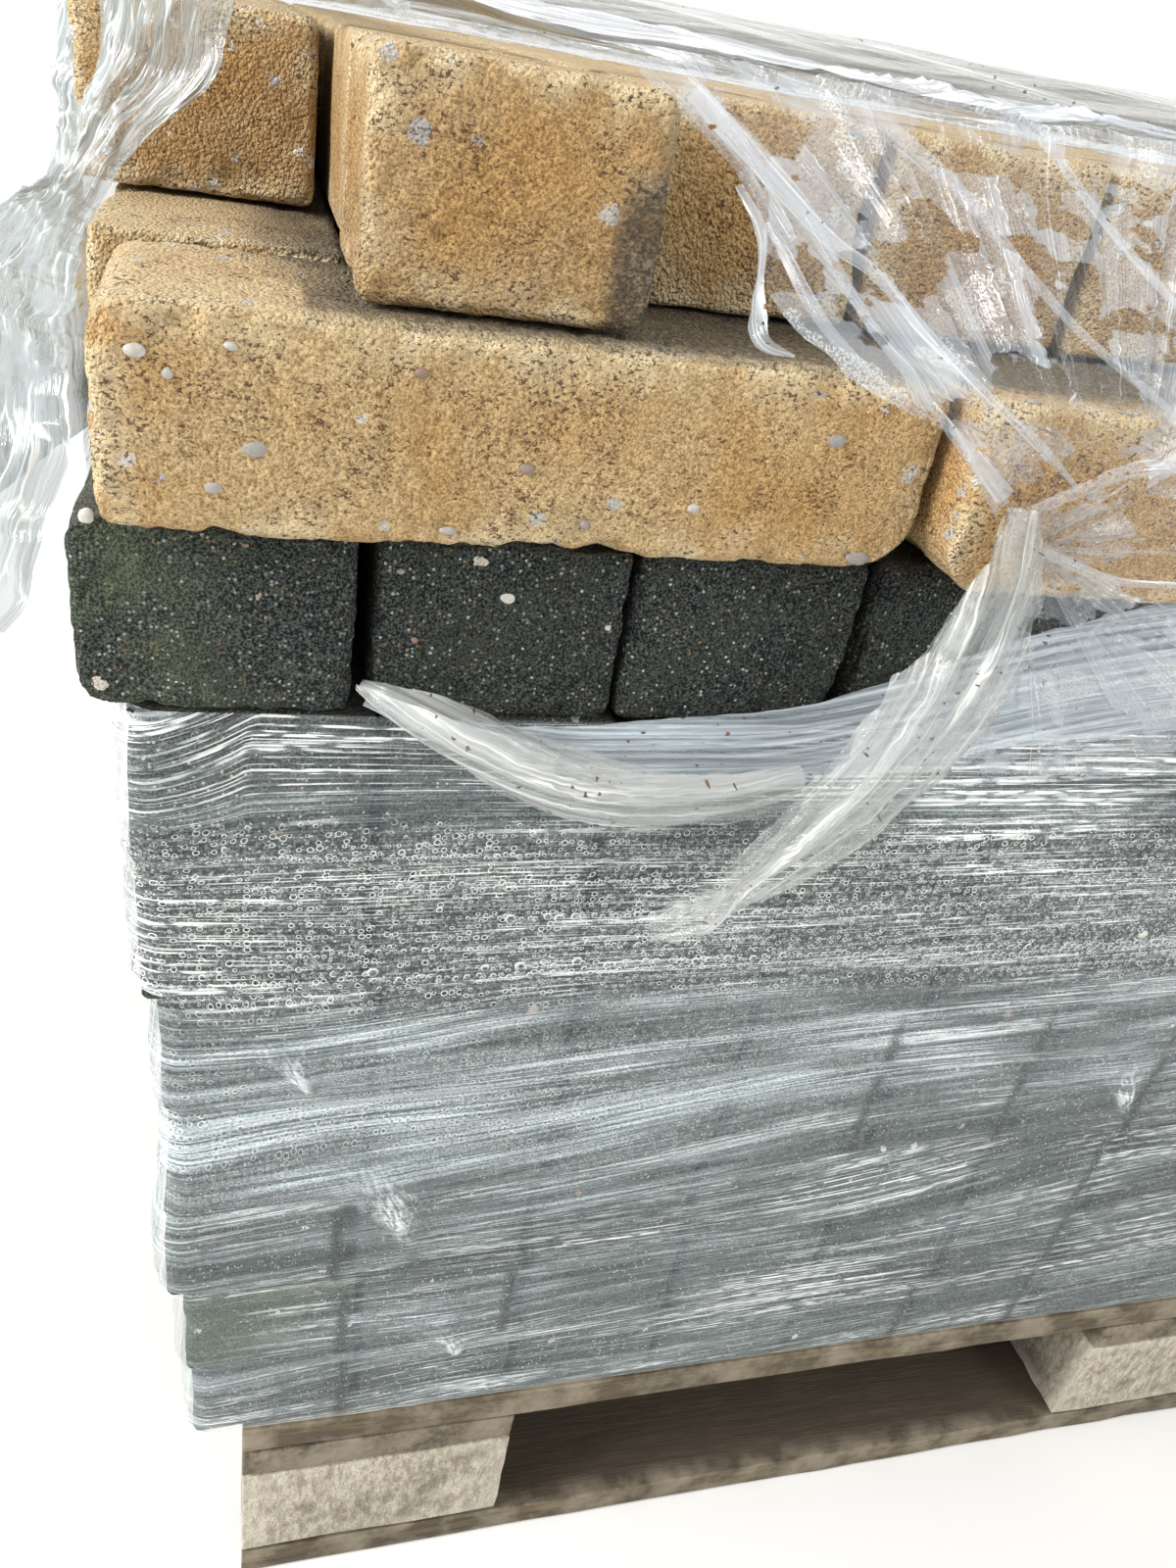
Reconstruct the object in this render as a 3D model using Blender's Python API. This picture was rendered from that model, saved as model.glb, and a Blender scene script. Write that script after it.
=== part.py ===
"""Pallet of tumbled concrete pavers under torn stretch film, in metres with +Z up.

The origin is the middle of the pallet's underside. +X runs along the pallet's long side,
and the side that shows the ends of the pavers faces -Y.
"""

import math

import bmesh
import bpy

for old in list(bpy.data.objects):
    bpy.data.objects.remove(old, do_unlink=True)

# Pallet of the common four-way block kind
PALLET_LENGTH = 1.200
PALLET_WIDTH = 0.800
PALLET_HEIGHT = 0.144
BOARD_THICKNESS = 0.022
WIDE_BOARD = 0.145
NARROW_BOARD = 0.100
BOARD_EDGE = 0.0015

# Pavers, and how they are laid
PAVER_LENGTH = 0.240
PAVER_WIDTH = 0.080
PAVER_HEIGHT = 0.060
PAVER_EDGE = 0.0045
JOINT_HALF_WIDTH = 0.003
JOINT_DEPTH = 0.010
DARK_COURSES = 8
COLUMNS = 15
END_ON_ROWS = 3

# Gap between things that touch
SEAT_GAP = 0.0003

# How far the courses stand out from the pallet on the left, and how far they lean to the front
LEFT_OVERHANG = 0.045
LEFT_OVERHANG_SHARES = (0.55, 0.60, 0.73, 0.65, 0.69, 0.80, 0.82, 1.05)
FRONT_LEAN = 0.016
FRONT_LEAN_SHARES = (-0.05, 0.15, 0.30, 0.42, 0.55, 0.72, 0.86, 1.00)

# Course 9: a front row of long pavers ahead of a bed
FRONT_ROW_COUNT = 5
FRONT_ROW_LEFT = 0.0385
FRONT_ROW_OUT = 0.0250
FRONT_ROW_JOINT = 0.0035
FRONT_ROW_STEP = 0.0120
FRONT_ROW_STEP_SHARES = (0.00, 1.00, 0.40, 0.75, 0.20)
FRONT_ROW_TURN = math.radians(1.6)
BED_JOINT = 0.0030

# Course 10: a column of end-on pavers at the corner, one further back on its left, and a bed
CORNER_COLUMN_LEFT = 0.0270
CORNER_COLUMN_OUT = 0.0130
CORNER_COLUMN_COUNT = 3
BACK_COLUMN_SETBACK = 0.1390
BACK_COLUMN_COUNT = 2
COLUMN_JOINT = 0.0030
TOP_BED_SETBACK = 0.0340
TOP_BED_COLUMNS = 13
GROOVE_HALF_WIDTH = 0.0035
GROOVE_DEPTH = 0.0045

# Stretch film
FILM_THICKNESS = 0.0008
FILM_CLEARANCE = 0.0005
FILM_LIP = 0.120
TORN_FRONT = 0.250
TORN_SIDE = 0.110
CURTAIN_REACH = 0.125
CURTAIN_DROP = 0.165
CURTAIN_RISE = 0.005
RIM_RADIUS = 0.0065
RIM_INSET = 0.085
TAIL_LENGTH = 0.165
TAIL_SIDE_REACH = 0.090
TAIL_RADIUS = 0.0090
ROPE_RADIUS = 0.0055
ROPE_SPAN = 0.110
ROPE_DROP = 0.028

# Values that follow from the sizes above
PALLET_LEFT = -PALLET_LENGTH / 2
PALLET_FRONT = -PALLET_WIDTH / 2
BLOCK_HEIGHT = PALLET_HEIGHT - 3 * BOARD_THICKNESS - 3 * SEAT_GAP
COURSE_PITCH = PAVER_HEIGHT + SEAT_GAP
STACK_LENGTH = COLUMNS * PAVER_WIDTH
STACK_DEPTH = END_ON_ROWS * PAVER_LENGTH + PAVER_WIDTH
LOWER_BUFF = DARK_COURSES
UPPER_BUFF = DARK_COURSES + 1


def course_bottom(index):
    return PALLET_HEIGHT + SEAT_GAP + index * COURSE_PITCH


def course_top(index):
    return course_bottom(index) + PAVER_HEIGHT


def make_material(name, colour, roughness, alpha=1.0):
    material = bpy.data.materials.new(name)
    material.use_nodes = True
    shader = material.node_tree.nodes["Principled BSDF"]
    shader.inputs["Base Color"].default_value = (*colour, 1.0)
    shader.inputs["Roughness"].default_value = roughness
    shader.inputs["Metallic"].default_value = 0.0
    shader.inputs["Alpha"].default_value = alpha
    return material


WOOD = make_material("weathered_wood", (0.30, 0.23, 0.17), 0.85)
DARK = make_material("dark_concrete", (0.055, 0.065, 0.062), 0.88)
BUFF = make_material("buff_concrete", (0.50, 0.33, 0.15), 0.90)
FILM = make_material("stretch_film", (0.82, 0.85, 0.86), 0.18, 0.35)


def add_object(name, mesh, material):
    obj = bpy.data.objects.new(name, mesh)
    bpy.context.scene.collection.objects.link(obj)
    mesh.materials.clear()
    mesh.materials.append(material)
    return obj


def add_bmesh(name, bm, material):
    bmesh.ops.recalc_face_normals(bm, faces=bm.faces)
    mesh = bpy.data.meshes.new(name)
    bm.to_mesh(mesh)
    bm.free()
    return add_object(name, mesh, material)


def add_block(name, low, size, material, edge, segments=1):
    """A box from its lowest corner and its size, with its edges taken off by a Bevel."""
    bm = bmesh.new()
    bmesh.ops.create_cube(bm, size=1)
    bmesh.ops.scale(bm, vec=size, verts=bm.verts)
    obj = add_bmesh(name, bm, material)
    obj.location = [start + length / 2 for start, length in zip(low, size)]
    bevel = obj.modifiers.new("edges", "BEVEL")
    bevel.width = edge
    bevel.segments = segments
    return obj


def spread(start, total, widths):
    """The starts of pieces of these widths, spread evenly over a total from a start."""
    gap = (total - sum(widths)) / (len(widths) - 1)
    return [start + sum(widths[:k]) + k * gap for k in range(len(widths))]


# Pallet: bottom boards, blocks, cross boards and deck boards, from the ground up
def build_pallet():
    row_widths = (NARROW_BOARD, WIDE_BOARD, NARROW_BOARD)
    row_starts = spread(PALLET_FRONT, PALLET_WIDTH, row_widths)
    column_widths = (WIDE_BOARD, WIDE_BOARD, WIDE_BOARD)
    column_starts = spread(PALLET_LEFT, PALLET_LENGTH, column_widths)
    block_bottom = BOARD_THICKNESS + SEAT_GAP
    cross_bottom = block_bottom + BLOCK_HEIGHT + SEAT_GAP
    deck_bottom = cross_bottom + BOARD_THICKNESS + SEAT_GAP
    for row, (y, depth) in enumerate(zip(row_starts, row_widths), 1):
        low = (PALLET_LEFT, y, 0)
        size = (PALLET_LENGTH, depth, BOARD_THICKNESS)
        add_block(f"bottom_board_{row}", low, size, WOOD, BOARD_EDGE)
        for column, (x, width) in enumerate(zip(column_starts, column_widths), 1):
            low = (x, y, block_bottom)
            size = (width, depth, BLOCK_HEIGHT)
            add_block(f"block_{row}_{column}", low, size, WOOD, BOARD_EDGE)
    for column, (x, width) in enumerate(zip(column_starts, column_widths), 1):
        low = (x, PALLET_FRONT, cross_bottom)
        size = (width, PALLET_WIDTH, BOARD_THICKNESS)
        add_block(f"cross_board_{column}", low, size, WOOD, BOARD_EDGE)
    deck_widths = (WIDE_BOARD, NARROW_BOARD, WIDE_BOARD, NARROW_BOARD, WIDE_BOARD)
    deck_starts = spread(PALLET_FRONT, PALLET_WIDTH, deck_widths)
    for board, (y, depth) in enumerate(zip(deck_starts, deck_widths), 1):
        low = (PALLET_LEFT, y, deck_bottom)
        size = (PALLET_LENGTH, depth, BOARD_THICKNESS)
        add_block(f"deck_board_{board}", low, size, WOOD, BOARD_EDGE)


# Courses as one solid each, with the joints between the pavers cut into their sides
def notched_side(start, along, inward, length, joints, inset):
    """The points of one side of a course, from just after one corner to the next corner."""
    points = []
    for joint in joints:
        half = JOINT_HALF_WIDTH + inset
        for place, depth in ((joint - half, inset), (joint, JOINT_DEPTH), (joint + half, inset)):
            points.append((place, depth))
    points.insert(0, (PAVER_EDGE + inset, inset))
    points.append((length - PAVER_EDGE - inset, inset))
    return [
        (
            start[0] + along[0] * place + inward[0] * depth,
            start[1] + along[1] * place + inward[1] * depth,
        )
        for place, depth in points
    ]


def course_outline(left, front, length, depth, joints, inset):
    """Anticlockwise from the front left corner. joints: front, right, back and left lists."""
    right, back = left + length, front + depth
    ahead, rightward, backward, leftward = joints
    sides = (
        ((left, front), (1, 0), (0, 1), length, ahead),
        ((right, front), (0, 1), (-1, 0), depth, rightward),
        ((right, back), (-1, 0), (0, -1), length, backward),
        ((left, back), (0, -1), (1, 0), depth, leftward),
    )
    return [point for side in sides for point in notched_side(*side, inset)]


def add_course(name, index, left, front, length, depth, joints, material):
    bottom, top = course_bottom(index), course_top(index)
    levels = (
        (bottom, PAVER_EDGE),
        (bottom + PAVER_EDGE, 0),
        (top - PAVER_EDGE, 0),
        (top, PAVER_EDGE),
    )
    bm = bmesh.new()
    rings = []
    for z, inset in levels:
        outline = course_outline(left, front, length, depth, joints, inset)
        rings.append([bm.verts.new((x, y, z)) for x, y in outline])
    for lower, upper in zip(rings, rings[1:]):
        for k in range(len(lower)):
            after = (k + 1) % len(lower)
            bm.faces.new((lower[k], lower[after], upper[after], upper[k]))
    bm.faces.new(rings[0])
    bm.faces.new(rings[-1])
    return add_bmesh(name, bm, material)


def steps(step, total):
    """Multiples of a step that lie inside a total."""
    return [k * step for k in range(1, round(total / step))]


def dark_left(index):
    return PALLET_LEFT - LEFT_OVERHANG * LEFT_OVERHANG_SHARES[index]


def dark_front(index):
    return PALLET_FRONT - FRONT_LEAN * FRONT_LEAN_SHARES[index]


def build_dark_courses():
    end_on = steps(PAVER_WIDTH, STACK_LENGTH)
    long_row = steps(PAVER_LENGTH, STACK_LENGTH)
    rows_from_front = [k * PAVER_LENGTH for k in range(1, END_ON_ROWS + 1)]
    rows_from_back = [STACK_DEPTH - place for place in reversed(rows_from_front)]
    joints = (end_on, rows_from_front, long_row, rows_from_back)
    for index in range(DARK_COURSES):
        add_course(
            f"dark_course_{index + 1}",
            index,
            dark_left(index),
            dark_front(index),
            STACK_LENGTH,
            STACK_DEPTH,
            joints,
            DARK,
        )


def front_row_front(place):
    """Where the front face of one long paver in course 9 stands."""
    return PALLET_FRONT - FRONT_ROW_OUT - FRONT_ROW_STEP * FRONT_ROW_STEP_SHARES[place]


def lower_bed_front():
    """The bed starts behind the long pavers, also behind the turned one's far corner."""
    turned = PAVER_LENGTH / 2 * math.sin(FRONT_ROW_TURN)
    return PALLET_FRONT - FRONT_ROW_OUT + PAVER_WIDTH + turned + BED_JOINT


def build_lower_buff():
    z = course_bottom(LOWER_BUFF)
    size = (PAVER_LENGTH, PAVER_WIDTH, PAVER_HEIGHT)
    pitch = PAVER_LENGTH + FRONT_ROW_JOINT
    for place in range(FRONT_ROW_COUNT):
        low = (PALLET_LEFT - FRONT_ROW_LEFT + place * pitch, front_row_front(place), z)
        paver = add_block(f"front_paver_{place + 1}", low, size, BUFF, PAVER_EDGE, 2)
        if place == 0:
            paver.rotation_euler.z = FRONT_ROW_TURN
    depth = STACK_DEPTH - PAVER_WIDTH
    rows = steps(PAVER_WIDTH, depth)
    long_row = steps(PAVER_LENGTH, STACK_LENGTH)
    left = dark_left(DARK_COURSES - 1)
    joints = (long_row, rows, long_row, rows)
    add_course(
        "lower_buff_bed", LOWER_BUFF, left, lower_bed_front(), STACK_LENGTH, depth, joints, BUFF
    )


def top_bed_left():
    return PALLET_LEFT + CORNER_COLUMN_LEFT + PAVER_WIDTH + COLUMN_JOINT


def add_groove_cutter(name, lines, across, start, end):
    """Upright V prisms along the top of the bed. across is 0 for grooves along Y, 1 for X."""
    top = course_top(UPPER_BUFF)
    rise = GROOVE_HALF_WIDTH
    section = (
        (0, top - GROOVE_DEPTH),
        (2 * GROOVE_HALF_WIDTH, top + GROOVE_DEPTH),
        (-2 * GROOVE_HALF_WIDTH, top + GROOVE_DEPTH),
    )
    bm = bmesh.new()
    for line in lines:
        ends = []
        for reach in (start - rise, end + rise):
            points = [
                (line + side, reach, z) if across == 0 else (reach, line + side, z)
                for side, z in section
            ]
            ends.append([bm.verts.new(point) for point in points])
        near, far = ends
        for k in range(len(section)):
            after = (k + 1) % len(section)
            bm.faces.new((near[k], near[after], far[after], far[k]))
        bm.faces.new(near)
        bm.faces.new(far)
    cutter = add_bmesh(name, bm, BUFF)
    cutter.hide_render = True
    cutter.display_type = "WIRE"
    return cutter


def build_upper_buff():
    z = course_bottom(UPPER_BUFF)
    size = (PAVER_WIDTH, PAVER_LENGTH, PAVER_HEIGHT)
    corner_x = PALLET_LEFT + CORNER_COLUMN_LEFT
    for place in range(CORNER_COLUMN_COUNT):
        y = PALLET_FRONT - CORNER_COLUMN_OUT + place * (PAVER_LENGTH + COLUMN_JOINT)
        name = f"corner_paver_{place + 1}"
        add_block(name, (corner_x, y, z), size, BUFF, PAVER_EDGE, 2)
    back_x = corner_x - COLUMN_JOINT - PAVER_WIDTH
    for place in range(BACK_COLUMN_COUNT):
        y = PALLET_FRONT + BACK_COLUMN_SETBACK + place * (PAVER_LENGTH + COLUMN_JOINT)
        name = f"left_paver_{place + 1}"
        add_block(name, (back_x, y, z), size, BUFF, PAVER_EDGE, 2)
    left, front = top_bed_left(), PALLET_FRONT + TOP_BED_SETBACK
    length, depth = TOP_BED_COLUMNS * PAVER_WIDTH, END_ON_ROWS * PAVER_LENGTH
    columns, rows = steps(PAVER_WIDTH, length), steps(PAVER_LENGTH, depth)
    joints = (columns, rows, columns, rows)
    bed = add_course("upper_buff_bed", UPPER_BUFF, left, front, length, depth, joints, BUFF)
    lines = [left + place for place in columns]
    along_y = add_groove_cutter("groove_cutter_y", lines, 0, front, front + depth)
    lines = [front + place for place in rows]
    along_x = add_groove_cutter("groove_cutter_x", lines, 1, left, left + length)
    for cutter in (along_y, along_x):
        cut = bed.modifiers.new(cutter.name, "BOOLEAN")
        cut.operation = "DIFFERENCE"
        cut.object = cutter


# Film, as thin closed skins just clear of what they wrap
def grown(ring, out, up=0):
    """A ring (left, right, front, back, z) moved outward and up."""
    left, right, front, back, z = ring
    return (left - out, right + out, front - out, back + out, z + up)


def closed_path(ring):
    left, right, front, back, z = ring
    return [(left, front, z), (right, front, z), (right, back, z), (left, back, z)]


def open_path(ring, start_x, end_y):
    """Round the right, the back and part of the left, from a point of the front."""
    left, right, front, back, z = ring
    return [
        (start_x, front, z),
        (right, front, z),
        (right, back, z),
        (left, back, z),
        (left, end_y, z),
    ]


def add_skin(name, inner, outer, closed):
    """A thin closed solid between two stacks of paths."""
    bm = bmesh.new()
    sheets = [[[bm.verts.new(p) for p in path] for path in stack] for stack in (inner, outer)]
    count = len(inner[0])
    spans = count if closed else count - 1
    for sheet in sheets:
        for lower, upper in zip(sheet, sheet[1:]):
            for k in range(spans):
                after = (k + 1) % count
                bm.faces.new((lower[k], lower[after], upper[after], upper[k]))
    for level in (0, -1):
        low, high = sheets[0][level], sheets[1][level]
        for k in range(spans):
            after = (k + 1) % count
            bm.faces.new((low[k], low[after], high[after], high[k]))
    if not closed:
        for end in (0, -1):
            for k in range(len(inner) - 1):
                corners = (sheets[0][k][end], sheets[0][k + 1][end])
                others = (sheets[1][k + 1][end], sheets[1][k][end])
                bm.faces.new((*corners, *others))
    return add_bmesh(name, bm, FILM)


def dark_ring(index, z):
    left, front = dark_left(index), dark_front(index)
    return (left, left + STACK_LENGTH, front, front + STACK_DEPTH, z)


def widest(first, second):
    """The ring that holds two others, at the first one's height."""
    return (
        min(first[0], second[0]),
        max(first[1], second[1]),
        min(first[2], second[2]),
        max(first[3], second[3]),
        first[4],
    )


def sleeve_rings():
    """Round courses 1 to 7: each course's own outline, and the wider of two where they meet."""
    wrapped = DARK_COURSES - 1
    rings = [dark_ring(0, course_bottom(0))]
    for index in range(wrapped):
        middle = course_bottom(index) + PAVER_HEIGHT / 2
        rings.append(dark_ring(index, middle))
        above = min(index + 1, wrapped - 1)
        top = course_top(index)
        rings.append(widest(dark_ring(index, top), dark_ring(above, top)))
    return rings


def build_sleeve():
    rings = sleeve_rings()
    inner = [closed_path(grown(ring, FILM_CLEARANCE)) for ring in rings]
    outer = [closed_path(grown(ring, FILM_CLEARANCE + FILM_THICKNESS)) for ring in rings]
    add_skin("film_sleeve", inner, outer, True)


def upper_extents():
    """The rings round course 8, course 9 and the top course, under the upper film."""
    dark = dark_ring(DARK_COURSES - 1, 0)
    row_front = min(front_row_front(place) for place in range(1, FRONT_ROW_COUNT))
    pitch = PAVER_LENGTH + FRONT_ROW_JOINT
    row_right = PALLET_LEFT - FRONT_ROW_LEFT + FRONT_ROW_COUNT * pitch
    bed_back = lower_bed_front() + STACK_DEPTH - PAVER_WIDTH
    back_left = PALLET_LEFT + CORNER_COLUMN_LEFT - COLUMN_JOINT - PAVER_WIDTH
    left, right = min(dark[0], back_left), max(dark[1], row_right)
    back = max(dark[3], bed_back)
    top_front = PALLET_FRONT + TOP_BED_SETBACK
    return left, right, row_front, top_front, back


def build_upper_film():
    left, right, row_front, top_front, back = upper_extents()
    start_x = PALLET_LEFT + TORN_FRONT
    end_y = PALLET_FRONT + TORN_SIDE
    above = course_top(UPPER_BUFF)
    rings = [
        (left, right, row_front, back, course_bottom(DARK_COURSES - 1)),
        (left, right, row_front, back, course_top(LOWER_BUFF)),
        (left, right, top_front, back, above),
        (left + FILM_LIP, right - FILM_LIP, top_front + FILM_LIP, back - FILM_LIP, above),
    ]
    lifts = (0, 0, FILM_CLEARANCE, FILM_CLEARANCE)
    spreads = (FILM_CLEARANCE, FILM_CLEARANCE, FILM_CLEARANCE, 0)
    thick = ((1, 0), (1, 0), (1, 1), (0, 1))
    inner, outer = [], []
    for ring, lift, out, (side, rise) in zip(rings, lifts, spreads, thick):
        near = grown(ring, out, lift)
        far = grown(near, side * FILM_THICKNESS, rise * FILM_THICKNESS)
        inner.append(open_path(near, start_x, end_y))
        outer.append(open_path(far, start_x, end_y))
    add_skin("film_upper", inner, outer, False)


def build_curtain():
    """The torn sheet that hangs down at the left front corner."""
    left = upper_extents()[0]
    x = left - FILM_CLEARANCE
    back = PALLET_FRONT + TORN_SIDE - SEAT_GAP
    top = course_top(UPPER_BUFF) + CURTAIN_RISE
    low = top - CURTAIN_DROP
    outline = (
        (back, low),
        (back, top),
        (back - CURTAIN_REACH / 3, top),
        (back - CURTAIN_REACH, low + CURTAIN_DROP / 3),
        (back - CURTAIN_REACH, low),
    )
    bm = bmesh.new()
    near = [bm.verts.new((x, y, z)) for y, z in outline]
    far = [bm.verts.new((x - FILM_THICKNESS, y, z)) for y, z in outline]
    for k in range(len(outline)):
        after = (k + 1) % len(outline)
        bm.faces.new((near[k], near[after], far[after], far[k]))
    bm.faces.new(near)
    bm.faces.new(far)
    add_bmesh("film_curtain", bm, FILM)


def add_tube(name, points, radius, radii, cyclic=False):
    """A gathered roll of film. radii are the shares of the radius at each point."""
    curve = bpy.data.curves.new(name, "CURVE")
    curve.dimensions = "3D"
    curve.bevel_depth = radius
    curve.bevel_resolution = 2
    curve.use_fill_caps = not cyclic
    spline = curve.splines.new("POLY")
    spline.points.add(len(points) - 1)
    for target, place, share in zip(spline.points, points, radii):
        target.co = (*place, 1)
        target.radius = share
    spline.use_cyclic_u = cyclic
    return add_object(name, curve, FILM)


def build_rim():
    left, right, _, top_front, back = upper_extents()
    z = course_top(UPPER_BUFF) + FILM_CLEARANCE + FILM_THICKNESS + SEAT_GAP + RIM_RADIUS
    ring = grown((left, right, top_front, back, z), -RIM_INSET)
    corners = closed_path(ring)
    points = []
    for k, corner in enumerate(corners):
        before = corners[k - 1]
        after = corners[(k + 1) % len(corners)]
        for other in (before, after):
            along = [b - a for a, b in zip(corner, other)]
            length = math.hypot(*along)
            share = 2 * RIM_RADIUS / length
            points.append([a + d * share for a, d in zip(corner, along)])
    add_tube("film_rim", points, RIM_RADIUS, [1] * len(points), cyclic=True)


def build_tail():
    """The gathered tongue that hangs over the sleeve, and the rope that joins it."""
    top_z = course_bottom(DARK_COURSES - 1) - 2 * SEAT_GAP
    sleeve_front = min(grown(ring, FILM_CLEARANCE + FILM_THICKNESS)[2] for ring in sleeve_rings())
    y = sleeve_front - SEAT_GAP - TAIL_RADIUS
    x = PALLET_LEFT + TORN_FRONT - TAIL_RADIUS - SEAT_GAP
    overlap = TAIL_LENGTH / 2
    shares = (0, 1 / 4, 1 / 2, 3 / 4, 1)
    radius_shares = (0.6, 0.9, 1.0, 1.0, 0.5)
    points = [
        (x - TAIL_SIDE_REACH * share, y, top_z + overlap - TAIL_LENGTH * share)
        for share in shares
    ]
    front = front_row_front(1) - SEAT_GAP - TAIL_RADIUS
    for k in (0, 1):
        points[k] = (points[k][0], front, points[k][2])
    add_tube("film_tail", points, TAIL_RADIUS, radius_shares)
    rope_y = sleeve_front - SEAT_GAP - ROPE_RADIUS
    rope_end = points[3][0] - 2 * TAIL_RADIUS
    rope_shares = (0, 1 / 3, 2 / 3, 1)
    sag_shares = (0, 0.75, 1, 1)
    rope = [
        (rope_end - ROPE_SPAN * (1 - share), rope_y, top_z - ROPE_DROP * sag)
        for share, sag in zip(rope_shares, sag_shares)
    ]
    add_tube("film_rope", rope, ROPE_RADIUS, (0.5, 1.0, 1.0, 1.0))


build_pallet()
build_dark_courses()
build_lower_buff()
build_upper_buff()
build_sleeve()
build_upper_film()
build_curtain()
build_rim()
build_tail()
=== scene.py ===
import functools
import itertools
import math

import bpy
import numpy as np
from mathutils import Matrix, Vector


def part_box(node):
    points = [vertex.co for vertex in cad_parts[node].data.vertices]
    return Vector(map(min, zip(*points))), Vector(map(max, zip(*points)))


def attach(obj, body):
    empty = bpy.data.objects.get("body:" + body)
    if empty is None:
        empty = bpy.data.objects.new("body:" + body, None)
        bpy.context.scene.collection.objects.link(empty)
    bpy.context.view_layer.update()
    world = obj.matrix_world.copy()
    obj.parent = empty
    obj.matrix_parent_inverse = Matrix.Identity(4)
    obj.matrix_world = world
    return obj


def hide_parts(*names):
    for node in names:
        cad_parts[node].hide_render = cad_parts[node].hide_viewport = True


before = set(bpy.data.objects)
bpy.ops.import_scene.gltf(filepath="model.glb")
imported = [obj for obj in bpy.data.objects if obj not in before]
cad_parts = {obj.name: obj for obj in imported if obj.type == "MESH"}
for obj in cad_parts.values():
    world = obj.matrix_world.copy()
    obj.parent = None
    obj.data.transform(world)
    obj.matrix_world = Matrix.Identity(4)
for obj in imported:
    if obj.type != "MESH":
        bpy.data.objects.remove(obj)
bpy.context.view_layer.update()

# Looks of a pallet of concrete pavers in torn stretch film. Metres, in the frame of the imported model.
BODY = "root"

# The pallet's front left corner on the ground
CORNER_X, CORNER_Y = -0.6, -0.4

# Camera: where the photograph was taken from, its turn, and its focal length in pixels
PHOTO_WIDTH, PHOTO_HEIGHT = 1200, 1600
FOCAL_PIXELS = 1200.4
SENSOR_MM = 36.0
EYE = np.array((-0.5988, -0.7366, 0.7514))
EYE_TURN = Vector((0.5729, -0.2729, 0.0871))

# Pallet and courses
PAVER_LONG, PAVER_WIDE, PAVER_TALL = 0.24, 0.08, 0.06
COURSE_PITCH = 0.0603
FIRST_BED = 0.1443
COLUMNS, UPPER_COLUMNS, END_ON_ROWS, LONG_ROW = 15, 13, 3, 5
# How many columns at the left show well
NEAR_COLUMNS = 6
STACK_LONG, STACK_DEEP = 1.2, 0.8
WRAPPED = 7
LEFT_REACH, FRONT_LEAN = 0.045, 0.016
LEFT_SHARES = (0.55, 0.6, 0.73, 0.65, 0.69, 0.8, 0.82, 1.05)
FRONT_SHARES = (-0.05, 0.15, 0.3, 0.42, 0.55, 0.72, 0.86, 1.00)
PAVER_JOINT = 0.0028

UP = np.array((0.0, 0.0, 1.0))


# Camera

def eye_axes():
    """The camera's right, down and forward directions, one in each row."""
    level = Matrix(((1, 0, 0), (0, 0, -1), (0, 1, 0)))
    turn = Matrix.Rotation(EYE_TURN.length, 3, EYE_TURN.normalized())
    return np.array(turn @ level)


def seen_at(pixel, y):
    """The point of an upright plane at y that the photograph shows at a pixel."""
    across, down = (pixel[0] - PHOTO_WIDTH / 2) / FOCAL_PIXELS, (pixel[1] - PHOTO_HEIGHT / 2) / FOCAL_PIXELS
    ray = eye_axes().T @ np.array((across, down, 1.0))
    return EYE + ray * (y - EYE[1]) / ray[1]


def seen_path(*places):
    """The points that the photograph shows at pixels, each with its y."""
    return [seen_at(pixel, y) for pixel, y in places]


def add_camera():
    right, down, forward = eye_axes()
    camera = bpy.data.cameras.new("camera")
    camera.sensor_width = SENSOR_MM
    camera.lens = FOCAL_PIXELS / PHOTO_HEIGHT * SENSOR_MM
    camera.clip_start = 0.02
    body = bpy.data.objects.new("camera", camera)
    turn = Matrix((right, -down, -forward)).transposed()
    body.matrix_world = Matrix.Translation(Vector(EYE)) @ turn.to_4x4()
    bpy.context.scene.collection.objects.link(body)
    bpy.context.scene.camera = body


# Noise on arrays of points

def lattice(corner, seed):
    """An even random number from 0 to 1 for each lattice point."""
    a, b, c = (corner[..., axis].astype(np.int64).astype(np.uint32) for axis in range(3))
    mixed = (a * np.uint32(0x8DA6B343)) ^ (b * np.uint32(0xD8163841)) ^ (c * np.uint32(0xCB1AB31F))
    mixed = mixed ^ np.uint32((seed * 2654435761) & 0xFFFFFFFF)
    mixed = (mixed ^ (mixed >> np.uint32(15))) * np.uint32(0x2C1B3C6D)
    mixed = (mixed ^ (mixed >> np.uint32(12))) * np.uint32(0x297A2D39)
    return (mixed ^ (mixed >> np.uint32(15))) / 4294967295.0


def noise(points, cell, seed=0):
    """Smooth noise from -1 to 1, with features the size of the cell."""
    place = np.asarray(points, float) / cell
    base = np.floor(place)
    part = place - base
    part = part * part * (3 - 2 * part)
    total = np.zeros(place.shape[:-1])
    for corner in itertools.product((0, 1), repeat=3):
        near = np.where(np.array(corner) == 1, part, 1 - part)
        total += near.prod(-1) * lattice(base + np.array(corner), seed)
    return total * 2 - 1


def rough(points, cell, seed=0, octaves=3):
    """Noise with finer noise on it."""
    total, weight = 0, 0
    for octave in range(octaves):
        share = 0.5 ** octave
        total = total + noise(points, np.asarray(cell) * share, seed + octave) * share
        weight += share
    return total / weight


def step_up(value, low, high):
    """0 below low, 1 above high, smooth between."""
    part = np.clip((value - low) / (high - low), 0, 1)
    return part * part * (3 - 2 * part)


def layers(*parts):
    """Arrays laid together along one more axis, the last."""
    return np.stack(np.broadcast_arrays(*parts), -1)


def flat(u, v, seed=0.0):
    """Points of a flat sheet, for its noise."""
    return layers(u, v, seed)


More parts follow.
